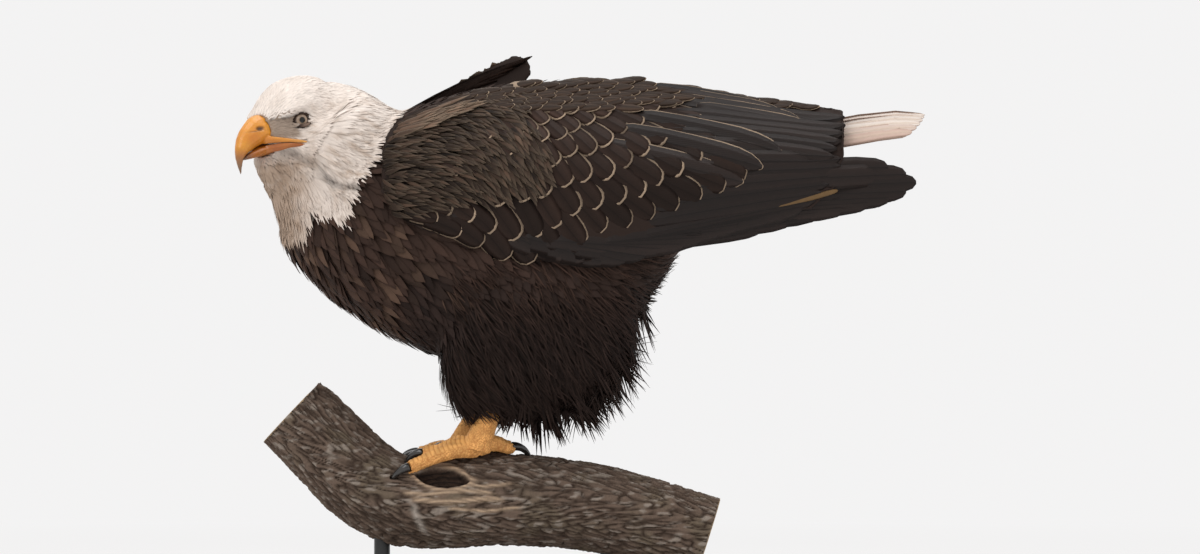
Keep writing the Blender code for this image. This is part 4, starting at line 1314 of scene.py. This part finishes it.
def rimmed(coat, edges, paths, normals, half_width, rim, colour, rng, sides=8, shape="square"):
    """Adds dark feathers and, just under each, a slightly larger pale one that shows as its rim.

    A feather that would lie deep under the skin is left out."""
    raised = clear_of_skin(paths, normals, 0.95)
    sound = np.linalg.norm(raised - paths, axis=2).max(axis=1) < 3.5
    paths, normals, half_width, colour = raised[sound], normals[sound], half_width[sound], colour[sound]
    run = unit(paths[:, -1] - paths[:, -2])
    reach = np.array(SHAPES[shape][0]) ** 2
    longer = paths + run[:, None] * (rim * reach)[None, :, None] - normals * 0.45
    paint = tinted(colour, rng, 0.16, shaft=colour.mean(0) * 0.5)
    coat.add(paths, normals, half_width, shape, sides, 0.55, 0.14, paint=paint)
    paint = tinted(np.tile(BUFF, (len(paths), 1)), rng, 0.18)
    edges.add(longer, normals, half_width + rim, shape, 6, 0.4, 0.14, 0.05, paint=paint, spare=0.2)


def wing_coat():
    """Both wings' feathers, from the lowest rows of coverts up, in three pieces."""
    rng = np.random.default_rng(41)
    vane = feather_material("wing_feathers", 0.6, 0.4, 0.08)
    flight = feather_material("flight_feathers", 0.5, 0.35, 0.10, shine=0.2)
    coat = Coat("coat_wing_coverts", vane, "body_feathers")
    edges = Coat("coat_wing_covert_edges", vane, "body_feathers")
    quills = Coat("coat_flight_feathers", flight, "flight_feathers")
    for side, sign in SIDES:
        guide = wing_guides[side]
        coverts(coat, edges, guide, side, sign, rng)
        lesser_coverts(edges, guide, sign, rng)
        scapulars(coat, edges, guide, side, sign, rng)
        long_feathers(quills, edges, guide, side, sign, rng)
    shoulder_lock(coat, rng)
    coat.finish()
    edges.finish()
    quills.finish(["wing_left_primaries", "wing_right_primaries"])


def coverts(coat, edges, guide, side, sign, rng):
    """The rows of pale-rimmed coverts, each over the one below it."""
    for row, (line, half_width, length) in enumerate(COVERT_ROWS):
        along = curve_through(line, 200)
        count = int(np.linalg.norm(np.diff(along, axis=0), axis=1).sum() / (half_width * 1.62))
        xz = curve_through(line, count) + rng.normal(0, 1.2, (count, 2))
        tips, _ = on_wing(side, sign, xz)
        size = 0.55 + 0.45 * smooth_step(xz[:, 0], -60, 30)
        deep, shallow = 5.6 - 0.5 * row, 2.9 - 0.5 * row
        paths, normals = traced(guide, tips, length * size, "square", slope_flow, deep, shallow)
        dark = np.tile(BROWN, (count, 1)) * (0.5 + 0.12 * row)
        rim = 1.3 if row == 0 else 2.2 - 0.15 * row
        rimmed(coat, edges, paths, leaning(paths, normals, 0.07), half_width * size, rim, dark, rng)


def lesser_coverts(edges, guide, sign, rng):
    """The small streaky feathers on the front of the wing."""

    def front(points):
        x, _, z = points.T
        limit = 66 - 0.5 * np.abs(z - 500)
        return ((x < limit) & (z > 438 + 0.25 * (x + 90))).astype(float)

    roots = guide.scatter(4.3, front, 50 + int(sign))
    length = 17 + 8 * rng.random(len(roots)) + 5 * smooth_step(roots[:, 0], -40, 50)
    paths, normals = laid(guide, roots, length, "lance", slope_flow, 2.4, 0.1, turn=0.16, rng=rng)
    shade = rng.random(len(roots))[:, None] ** 2
    brown = MID_BROWN * (0.16 + 0.6 * shade)
    size = 2.5 + 1.2 * smooth_step(roots[:, 0], -40, 50)
    paint = tinted(brown, rng, 0.25, edge=BUFF * 0.26, edge_from=0.5, tip=BUFF * 0.34)
    edges.add(paths, normals, size, "lance", 6, 0.35, 0.1, 0.2, paint=paint)


def scapulars(coat, edges, guide, side, sign, rng):
    """The streaked feathers along the top of the wing, and the raised lock at its shoulder."""

    def top(points):
        x, _, z = points.T
        line = np.interp(x, (-90, -30, 60, 150, 240), (530, 545, 548, 552, 560)) - 8 * (x > 240)
        lock = np.interp(x, (-90, -72, -40, 20, 60), (522, 538, 553, 568, 574))
        under_lock = (sign > 0) & (x < 60) & (z > lock)
        return ((z > line) & (x > -84) & (x < 318) & ~under_lock).astype(float)

    def flow(points):
        fall = np.interp(points[:, 0], (-90, 0, 120, 240), (0.12, 0.0, -0.12, -0.25))
        return unit(np.stack((np.ones(len(points)), -sign * 0.15 * np.ones(len(points)), fall), 1))

    roots = guide.scatter(7.2, top, 60 + int(sign))
    length = 30 + 10 * rng.random(len(roots))
    paths, normals = laid(guide, roots, length, "contour", flow, 3.4, 0.3, turn=0.1, rng=rng)
    brown = np.tile(MID_BROWN * 0.42, (len(roots), 1))
    rimmed(coat, edges, paths, normals, np.full(len(roots), 6.0), 0.9, brown, rng, 6, "contour")
    if side == "left":
        count = 64
        t = rng.random(count)
        xz = np.stack((-88 + 62 * t, 521 + 27 * t**0.8), 1) + rng.normal(0, 2.6, (count, 2))
        starts, _ = on_wing(side, sign, xz)
        reach = 30 + 16 * rng.random(count)
        paths, normals = laid(guide, starts, reach, "lance", flow, 0.6, 3.2, turn=0.1, rng=rng, loose=1.4)
        shade = MID_BROWN * (0.7 + 1.3 * rng.random((count, 1)) ** 2)
        paint = tinted(shade, rng, 0.1, edge=BUFF * 0.6, edge_from=0.5, tip=BUFF * 0.7)
        coat.add(paths, normals, np.full(count, 3.4), "lance", 6, 0.4, 0.1, 0.15, paint=paint)


def long_feathers(quills, edges, guide, side, sign, rng):
    """Tertials, secondaries and primaries, laid over each other like a closed fan."""
    for tips, count, half_width, length, deep, shallow, slope, rim in LONG_FEATHERS:
        xz = curve_through(tips, count)
        angle = np.radians(np.interp(np.linspace(0, 1, count), np.linspace(0, 1, len(slope)), slope))

        def flow(points, angle=angle):
            return np.stack((np.cos(angle), 0 * angle, -np.sin(angle)), 1)

        places, _ = on_wing(side, sign, xz)
        stack = np.linspace(0.9, 0.0, count)[:, None, None]
        paths, normals = traced(guide, places, np.full(count, float(length)), "flight", flow, deep, shallow)
        paths = paths - normals * stack
        normals = unit(normals * (1.0, 1.0, 0.25))
        dark = np.tile(BLACK_BROWN * 0.75, (count, 1))
        if rim:
            rimmed(quills, edges, paths, normals, np.full(count, half_width), rim, dark, rng, 8, "flight")
        else:
            paint = tinted(dark, rng, 0.15, shaft=dark[0] * 0.4)
            quills.add(paths, normals, np.full(count, half_width), "flight", 8, 0.6, 0.12, paint=paint)
    folded_primaries(quills, sign, rng)


def bowed(root, tip, rise, shares):
    """Points at the shares of a line from root to tip, its middle raised."""
    return root + (tip - root) * shares[:, None] + np.array((0.0, 0.0, rise)) * np.sin(np.pi * shares)[:, None]


def folded_primaries(quills, sign, rng):
    """The long black hand feathers, that run back past the wing to a rounded point."""
    count = len(FOLDED_PRIMARY_TIPS)
    shares = np.array(SHAPES["quill"][0])
    paths, normals = [], []
    for i, (x, z) in enumerate(FOLDED_PRIMARY_TIPS):
        root = np.array((60.0 + 7.0 * i, 0.0, 446.0 - 3.4 * i))
        tip = np.array((x, 0.0, z))
        path = bowed(root, tip, 10.0 - 1.5 * i, shares)
        spread = np.interp(path[:, 0], (60, 150, 200, 260, 320, 365, 434), (82, 78, 70, 61, 54.5, 51, 48.6))
        path[:, 1] = sign * (spread - 0.6 + 0.45 * (count - 1 - i))
        paths.append(path)
        normals.append(np.tile(unit(np.array((0.1, sign, -0.05))), (len(shares), 1)))
    dark = np.tile(BLACK_BROWN * 0.7, (count, 1))
    half_width = np.linspace(12.0, 11.0, count)
    paint = tinted(dark, rng, 0.12, shaft=dark[0] * 0.5)
    quills.add(np.array(paths), np.array(normals), half_width, "quill", 8, 0.6, 0.05, paint=paint)
    start, end = np.array((252.0, sign * 68.0, 436.5)), np.array((356.0, sign * 58.6, 466.0))
    strip = bowed(start, end, 0.0, shares)[None]
    paint = tinted(OCHRE[None], rng, 0.0)
    quills.add(strip, np.array(normals[:1]), np.array((2.7,)), "quill", 6, 0.4, 0.05, paint=paint)


def shoulder_lock(coat, rng):
    """The long dark feathers that stand up from the right shoulder."""
    count = 34
    shares = np.array(SHAPES["flight"][0])
    paths, normals = [], []
    for t in np.linspace(0, 1, count):
        root = np.array((-86 + 40 * t * rng.random(), 62 - 14 * t + rng.normal(0, 2), 520 + 22 * t))
        y = 47 - 9 * t + rng.normal(0, 1.5)
        tip = np.array((-20 + 72 * t, y, 560 + 42 * t**0.8 - 16 * rng.random() * (1 - t)))
        paths.append(bowed(root, tip, 4.0, shares))
        normals.append(np.tile(unit(np.array((-0.35, 0.55, 0.7))), (len(shares), 1)))
    dark = np.tile(BROWN * 0.9, (count, 1))
    paint = tinted(dark, rng, 0.25)
    coat.add(np.array(paths), np.array(normals), np.full(count, 5.5), "flight", 6, 0.5, 0.1, 0.1, paint=paint)


def tail_coat():
    """Twelve white tail feathers in a closed fan, folded like a low roof."""
    rng = np.random.default_rng(61)
    white = feather_material("tail_feathers", 0.65, 0.2, 0.08)
    coat = Coat("coat_tail", white, "tail_feathers")
    low, high = (np.array(corner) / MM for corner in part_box("tail"))
    half, end = (high[1] - low[1]) / 2 - 5.0, high[0] - 1.0
    across = np.linspace(-1, 1, 12)
    tips = []
    for share in across:
        x, y = end - 15.0 * share**2, share * half
        hit, _, _, _ = tail_guide.tree.ray_cast((x - 2.0, y, 700.0), (0.0, 0.0, -1.0))
        tips.append((x, y, hit.z if hit is not None else 530.0))

    def flow(points):
        return unit(np.stack((np.ones(len(across)), 0.12 * across, 0 * across), 1))

    paths, normals = traced(tail_guide, np.array(tips), np.full(12, 150.0), "quill", flow, 2.6, 1.0)
    paths = paths - normals * 1.4 * np.abs(across)[:, None, None]
    normals = leaning(paths, normals, -0.05 * np.sign(across)[:, None, None])
    pink = smooth_step(np.abs(across), 0.6, 1.0)[:, None]
    white_base = WHITE * (0.8 - (0.16, 0.28, 0.32) * pink)
    edge = np.array((0.50, 0.34, 0.27))
    paint = tinted(white_base, rng, 0.04, edge=edge, edge_from=0.75, shaft=(0.55, 0.43, 0.34))
    coat.add(paths, normals, np.full(12, 9.0), "quill", 8, 0.5, 0.03, paint=paint)
    coat.finish(["tail"])


white_vanes = feather_material("white_feathers", 0.8, 0.14, 0.05)
head_random = np.random.default_rng(11)
face_coat(white_vanes, head_random)
neck_coat(white_vanes, head_random)
body_coat()
thigh_coat()
wing_coat()
tail_coat()


# ---------------------------------------------------------------- bill, eyes and claws


# The deeper orange is partly the horn's own, in blotches, and partly painted shade lower down on the bill.
HORN, HORN_DEEP_AND_SHADE, HORN_TIP = (0.68, 0.28, 0.024), (0.52, 0.17, 0.012), (0.12, 0.085, 0.06)
# The mouth's corner, and the near-black of painted shade inside the nostrils.
MOUTH_CORNER, NOSTRIL_PAINTED_SHADE = (0.90, 0.52, 0.13), (0.05, 0.02, 0.008)
# Painted shade over the lower mandible, which lies under the upper bill.
LOWER_BILL_PAINTED_SHADE = np.array((0.62, 0.5, 0.55))


def bill_relief(a, b, c):
    """The upper bill's height over its solid, and the share of painted shade, one inside the nostril and less
    along its slit.
    """
    across = ((a - 9.4) / 4.6) ** 2 + ((c + 15.0) / 2.3) ** 2
    hole = bell(across, 1.0) * (np.abs(b) > 5)
    slit = bell(a - 14.0, 8.0) * bell(c + 17.2, 0.8) * (np.abs(b) > 3)
    cere_edge = 14.0 - 0.05 * (c + 15) ** 2 / 4
    cere = smooth_step(a, cere_edge + 1.2, cere_edge - 1.2)
    tomium = bell(c + 33.5 + 0.35 * np.maximum(a - 4, 0), 1.1) * (a > -2)
    return 0.35 * cere - 2.2 * hole - 0.5 * slit - 0.25 * tomium, np.maximum(hole, 0.6 * slit)


def build_bill():
    """The hooked bill with its smooth cere, nostrils and darker tip."""
    for node, voxel in (("bill_upper", 0.7), ("bill_lower", 0.6)):
        corners, triangles = mesh_arrays(remeshed(cad_copy([node]), voxel, 6))
        normals = vertex_normals(corners, triangles)
        a, b, c = in_head(corners).T
        upper = node == "bill_upper"
        lift, nostril_shade = bill_relief(a, b, c) if upper else (0 * a, 0 * a)
        lift = lift + 0.12 * wavy(corners, 3.0, 4.0)
        corners = corners + normals * (lift - 0.25)[:, None]
        mesh = mesh_from(node, corners, triangles)
        # Deeper orange in soft blotches, the horn's own, and more of it lower down as painted shade.
        ridge = smooth_step(wavy(corners, 15.0, 1.0) - 0.03 * (c + 24), -0.5, 0.8)
        colour = toward(np.array(HORN), HORN_DEEP_AND_SHADE, ridge)
        if upper:
            tip = smooth_step(-c + 0.5 * a, 46, 72)
            corner = smooth_step(-a, 4, 34) * (np.abs(b) > 12)
            # Painted shade: the upper bill darker towards its lower edge.
            colour = colour * (1 - 0.12 * smooth_step(-c, 24, 34))[:, None]
            colour = toward(colour, MOUTH_CORNER, 0.5 * corner)
        else:
            tip = smooth_step(a, 16, 32)
            # The lower mandible darkened all over: painted shade under the upper bill.
            colour = colour * LOWER_BILL_PAINTED_SHADE
        # A darker tip, and painted shade in the nostril and its slit.
        colour = toward(toward(colour, HORN_TIP, 0.85 * tip), NOSTRIL_PAINTED_SHADE, 0.95 * nostril_shade)
        set_colours(mesh, "horn", colour)
        mesh.shade_smooth()
        s = Shader(f"{node}_horn", 0.34, Coat_Weight=0.15, Coat_Roughness=0.25, Subsurface_Weight=0.08)
        s.bsdf.inputs["Subsurface Radius"].default_value = (0.004, 0.0016, 0.0006)
        grain, relief = (420.0, 6.0, 0.6), (0.12, 0.0006)
        s.grained("horn", 0.5, (0.7, 0.66, 0.6), (1.25, 1.25, 1.2), noise=grain, bump=relief)
        new_piece(f"{node}_shell", mesh, [s.material], [node])


# The iris from its middle to its rim, by the sine of the angle from the eye's axis: the black pupil, a dark
# edge, the pale ring and the dark outer edge.
IRIS = [
    (0.0, (0.004, 0.004, 0.004)),
    (0.285, (0.004, 0.004, 0.004)),
    (0.31, (0.16, 0.11, 0.07)),
    (0.38, (0.27, 0.19, 0.135)),
    (0.54, (0.36, 0.26, 0.19)),
    (0.61, (0.20, 0.14, 0.10)),
    (0.68, (0.07, 0.045, 0.035)),
    (1.0, (0.05, 0.035, 0.03)),
]
CORNEA_BULGE = 0.55


def build_eyes():
    """Pale eyes with a small pupil and a clear bulging front."""
    s = Shader("eye_iris", 0.12, Coat_Weight=0.3, Coat_Roughness=0.03, Specular_IOR_Level=0.25)
    away = s.attribute("from_axis").outputs["Fac"]
    rays = s.noise(s.object_place(), 1500.0, 3.0)
    wobble = s.math("MULTIPLY_ADD", s.math("SUBTRACT", rays, 0.5), 0.03, away)
    s.to("Base Color", s.ramp(wobble, IRIS))
    for side, sign in SIDES:
        centre = eye_centre(side)
        low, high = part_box(f"eye_{side}")
        radius = (high.z - low.z) / 2 / MM
        look, front, up = eye_axes(-sign)
        bm = bmesh.new()
        bmesh.ops.create_uvsphere(bm, u_segments=72, v_segments=60, radius=1.0)
        corners = np.array([v.co for v in bm.verts])
        turned = corners @ np.array((front, up, look))
        angle = np.arccos(np.clip(corners[:, 2], -1, 1))
        reach = radius - CORNEA_BULGE * (1 - bell(angle, 0.45))
        for vert, point in zip(bm.verts, (centre + turned * reach[:, None]) * MM):
            vert.co = point
        mesh = bpy.data.meshes.new(f"eyeball_{side}")
        if bm.calc_volume(signed=True) < 0:
            bmesh.ops.reverse_faces(bm, faces=bm.faces[:])
        bm.to_mesh(mesh)
        bm.free()
        layer = mesh.attributes.new("from_axis", "FLOAT", "POINT")
        layer.data.foreach_set("value", np.sin(np.minimum(angle, math.pi / 2)).astype(np.float32))
        mesh.shade_smooth()
        new_piece(f"eyeball_{side}", mesh, [s.material], [f"eye_{side}"])


def build_claws():
    """Polished black talons, rounder than the solids."""
    s = Shader("talon", 0.22, Coat_Weight=0.4, Coat_Roughness=0.12)
    grain = s.noise(s.object_place(), 260.0, 5.0)
    s.speckled(grain, (0.3, (0.008, 0.007, 0.0065)), (0.75, (0.03, 0.024, 0.02)), bump=(0.15, 0.0004))
    for side, _ in SIDES:
        for toe in range(1, 5):
            node = f"claw_{side}_{toe}"
            mesh = bpy.data.meshes.new(node)
            bm = cad_copy([node])
            bm.to_mesh(mesh)
            bm.free()
            mesh.shade_smooth()
            talon = new_piece(f"talon_{side}_{toe}", mesh, [s.material], [node])
            soft = talon.modifiers.new("round", "SUBSURF")
            soft.levels = soft.render_levels = 2


build_bill()
build_eyes()
build_claws()


# ---------------------------------------------------------------- limb and stand


# Strips of torn wood under the wound: height, half width, from x, to x.
WOUND_STRIPS = [(166, 2.1, -74, 12), (158, 2.9, -66, 22), (174, 1.8, -20, 30), (149, 1.6, -30, 40)]


# The bark's colour on its ridges and in its cracks, whose dark is partly the bark's own and partly painted
# shade.
HIGH_BARK, CRACK_AND_SHADE = (0.135, 0.094, 0.072), (0.045, 0.029, 0.021)
MOSS, FLAKE = (0.14, 0.118, 0.078), (0.29, 0.245, 0.21)
TORN_WOOD, SCAR_WOOD = np.array((0.46, 0.33, 0.23)), (0.40, 0.35, 0.31)
# The near-black painted shade in the wound's hollow, and the sawn ends' wood.
HOLLOW_SHADE, SAWN_WOOD = np.array((0.03, 0.018, 0.013)), np.array((0.50, 0.36, 0.22))


def bark_ridges(x, angle):
    """The long ridges of the bark, from zero in the cracks to one, and the fine relief on them."""
    run = np.stack((x / 12.0, angle * 10.0, 0.35 * angle), 1)
    ridge = np.empty(len(x))
    fine = np.empty(len(x))
    for i, (s, t, w) in enumerate(run.tolist()):
        ridge[i] = 1 - abs(noise.noise((s + 3.0 * math.sin(t * 0.4), t, w))) * 2.2
        fine[i] = noise.noise((s * 4.5, t * 2.6, w + 9.0))
    return np.clip(ridge, 0, 1) ** 1.8, fine


def limb_wound(x, z, near):
    """Shares of the hollow wound on the near side, of the torn wood round it and of the scar beside it."""
    across = (x + 37) / 28.0
    height = z - 181 + 3.0 * across
    half = 10.5 * np.clip(1 - across**2, 0, 1) ** 0.8
    wound = smooth_step(half - np.abs(height), -0.5, 3.0) * near
    torn = bell(np.abs(height) - half - 2.0, 2.4) * (1 - smooth_step(np.abs(across), 1.0, 1.4)) * near
    for middle, width, low, high in WOUND_STRIPS:
        ends = smooth_step(x, low - 6, low + 6) * (1 - smooth_step(x, high - 8, high + 8))
        bend = middle + 1.6 * np.sin(x / 13.0 + middle)
        torn = np.maximum(torn, bell(z - bend, width) * ends * near)
    line = -65 + 13 * np.clip((155 - z) / 33, 0, 1.2) ** 2
    scar = bell(x - line, 3.2) * smooth_step(z, 120, 128) * (1 - smooth_step(z, 150, 158)) * near
    return wound, np.clip(torn - wound, 0, 1), scar


def build_limb():
    """The cut limb with furrowed bark, an old wound on the near side and clean sawn ends."""
    corners, triangles = mesh_arrays(remeshed(cad_copy(["perch"]), 1.25, 1))
    normals = vertex_normals(corners, triangles)
    x, y, z = corners.T
    dy, dz = (v - np.polyval(np.polyfit(x, v, 4), x) for v in (y, z))
    radius = np.hypot(dy, dz)
    end = (np.abs(normals[:, 0]) > 0.62) & (radius < 60) & ((x < x.min() + 75) | (x > x.max() - 22))
    end &= np.abs(normals @ np.array((0.74, -0.05, -0.67))) > 0.9
    end |= (x > x.max() - 16) & (np.abs(normals[:, 0]) > 0.75)
    bark, fine = bark_ridges(x, np.arctan2(-dy, dz))
    wound, torn, scar = limb_wound(x, z, smooth_step(-dy, 10, 26))
    fibre = 0.5 + 0.5 * np.sin((z + 0.06 * x + 4 * np.sin(x / 17.0)) * 1.5)
    depth = 3.3 * bark + 0.7 * (0.5 + fine)
    depth = depth * (1 - torn) + (0.3 + 0.9 * (1 - fibre)) * torn + (7.0 + 2.0 * fibre) * wound
    depth[end] = 0.3
    corners = corners - normals * depth[:, None]
    mesh = mesh_from("limb_bark", corners, triangles)
    blotch = smooth_step(wavy(corners, 30.0, 3.0), 0.0, 0.5)
    flake = smooth_step(wavy(corners * (0.35, 1, 1), 4.5, 6.0), 0.12, 0.4) * (1 - bark)
    # Darker in the sunk cracks, partly painted shade.
    colour = toward(np.array(HIGH_BARK), CRACK_AND_SHADE, bark**0.8)
    colour = toward(colour, MOSS, 0.4 * blotch * (1 - bark))
    colour = toward(colour, FLAKE, 0.75 * flake)
    colour = toward(colour, TORN_WOOD * (0.55 + 0.45 * fibre)[:, None], torn)
    colour = toward(colour, SCAR_WOOD, 0.8 * scar)
    # Painted shade in the wound's hollow, streaked by the wood's fibres.
    colour = toward(colour, HOLLOW_SHADE * (0.5 + fibre)[:, None], smooth_step(wound, 0.1, 0.6))
    rings = 0.5 + 0.5 * np.sin(radius * 1.6 + wavy(corners, 12.0))
    colour[end] = (SAWN_WOOD * (0.75 + 0.25 * rings)[:, None])[end]
    set_colours(mesh, "bark", colour)
    mesh.shade_smooth()
    s = Shader("bark", 0.9, Specular_IOR_Level=0.2)
    s.grained("bark", 0.8, (0.45, 0.45, 0.45), (1.55, 1.55, 1.5), noise=(350.0, 8.0, 0.7), bump=(0.6, 0.0015))
    new_piece("limb_bark", mesh, [s.material], ["perch"])


ROD_RADIUS, ROD_STEPS = 7.95, 48


def turned_rod(node):
    """A rod with a rounded foot flange, turned about its own axis."""
    low, high = (np.array(corner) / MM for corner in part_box(node))
    middle = (low + high) / 2
    flange = (high[0] - low[0]) / 2
    foot = [(0.0, 0.0), (flange - 0.4, 0.0), (flange - 0.1, 0.5), (flange - 0.1, 2.8), (flange - 1.2, 3.9)]
    profile = [(r, low[2] + z) for r, z in foot + [(9.4, 4.1), (ROD_RADIUS, 6.0)]]
    profile += [(ROD_RADIUS, high[2] - 0.6), (0.0, high[2])]
    corners = []
    for r, z in profile:
        for i in range(ROD_STEPS):
            turn = 2 * math.pi * i / ROD_STEPS
            corners.append((middle[0] + r * math.cos(turn), middle[1] + r * math.sin(turn), z))
    faces = []
    for k in range(len(profile) - 1):
        for i in range(ROD_STEPS):
            here, after = k * ROD_STEPS + i, k * ROD_STEPS + (i + 1) % ROD_STEPS
            faces.append((here, after, after + ROD_STEPS, here + ROD_STEPS))
    bm = bmesh.new()
    mesh = mesh_from(f"{node}_turned", np.array(corners), faces)
    bm.from_mesh(mesh)
    bmesh.ops.remove_doubles(bm, verts=bm.verts[:], dist=1e-6)
    bm.to_mesh(mesh)
    bm.free()
    mesh.shade_smooth()
    mesh.set_sharp_from_angle(angle=math.radians(40))
    return mesh


def build_stand():
    """A stained wooden base and two painted rods."""
    s = Shader("stand_stain", 0.42, Coat_Weight=0.2, Coat_Roughness=0.2)
    stretched = {"Vector": s.object_place(), "Scale": (6.0, 90.0, 90.0)}
    grain = s.noise(s.node("ShaderNodeMapping", stretched).outputs["Vector"], 3.0, 6.0, 0.6)
    s.speckled(grain, (0.3, (0.012, 0.010, 0.009)), (0.7, (0.035, 0.028, 0.023)), bump=(0.1, 0.0005))
    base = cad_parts["stand_base"]
    base.data.materials.clear()
    base.data.materials.append(s.material)
    s = Shader("stand_rod_paint", 0.38, Metallic=0.4)
    grain = s.noise(s.object_place(), 2200.0, 2.0)
    s.speckled(grain, (0.3, (0.018, 0.018, 0.018)), (0.7, (0.035, 0.035, 0.035)), bump=(0.08, 0.0002))
    for node in ("stand_rod_front", "stand_rod_rear"):
        new_piece(f"{node}_turned", turned_rod(node), [s.material], [node])


build_limb()
build_stand()


# ---------------------------------------------------------------- stage

FLOOR, BACKDROP = (0.84, 0.835, 0.83), (0.90, 0.895, 0.895)
# In metres: half the floor's width, and the width that the photo shows at the bird.
FLOOR_REACH, FRAME_WIDTH = 60.0, 1.2
CAMERA_LENS, SENSOR = 220.0, 36.0


def build_floor():
    """A pale floor that fades into the backdrop."""
    floor = bpy.data.meshes.new("floor")
    corners = [(-FLOOR_REACH, -FLOOR_REACH, 0), (FLOOR_REACH, -FLOOR_REACH, 0), (FLOOR_REACH, FLOOR_REACH, 0)]
    floor.from_pydata(corners + [(-FLOOR_REACH, FLOOR_REACH, 0)], [], [(0, 1, 2, 3)])
    ground = bpy.data.objects.new("floor", floor)
    bpy.context.scene.collection.objects.link(ground)
    s = Shader("studio_floor", 0.9)
    s.bsdf.inputs["Base Color"].default_value = (*FLOOR, 1.0)
    away = s.node("ShaderNodeVectorMath", {0: s.object_place()}, operation="LENGTH").outputs["Value"]
    fade = s.node("ShaderNodeMapRange", {"Value": away, "From Min": 0.9, "From Max": 4.0}).outputs["Result"]
    glow = s.node("ShaderNodeEmission", {"Color": (*BACKDROP, 1.0)}).outputs["Emission"]
    blend = s.node("ShaderNodeMixShader", {0: fade, 1: s.bsdf.outputs["BSDF"], 2: glow}).outputs["Shader"]
    s.tree.links.new(blend, s.tree.nodes["Material Output"].inputs["Surface"])
    floor.materials.append(s.material)


def add_lamp(name, place, aim, size, watts):
    light = bpy.data.lights.new(name, "AREA")
    light.shape = "DISK"
    light.size = size
    light.energy = watts
    obj = bpy.data.objects.new(name, light)
    obj.location = place
    obj.rotation_euler = (Vector(aim) - Vector(place)).to_track_quat("-Z", "Y").to_euler()
    bpy.context.scene.collection.objects.link(obj)


def build_stage():
    """The floor, an even pale sky, two soft lamps and the camera."""
    build_floor()
    world = bpy.data.worlds.new("studio")
    bpy.context.scene.world = world
    world.use_nodes = True
    sky = world.node_tree.nodes["Background"]
    sky.inputs["Color"].default_value = (*BACKDROP, 1.0)
    sky.inputs["Strength"].default_value = 1.0

    add_lamp("key", (-1.2, -2.2, 2.8), (0, 0, 0.4), 1.8, 26)
    add_lamp("top", (0.4, 0.2, 3.2), (0, 0, 0.4), 2.4, 34)
    camera = bpy.data.cameras.new("camera")
    camera.lens = CAMERA_LENS
    camera.sensor_width = SENSOR
    camera.clip_end = 200.0
    view = bpy.data.objects.new("camera", camera)
    view.location = (0.120, -FRAME_WIDTH * CAMERA_LENS / SENSOR, 0.380)
    view.rotation_euler = (math.radians(90), 0.0, 0.0)
    bpy.context.scene.collection.objects.link(view)
    bpy.context.scene.camera = view
    bpy.context.scene.view_settings.view_transform = "Standard"
    bpy.context.scene.view_settings.look = "None"


build_stage()

bpy.context.view_layer.update()
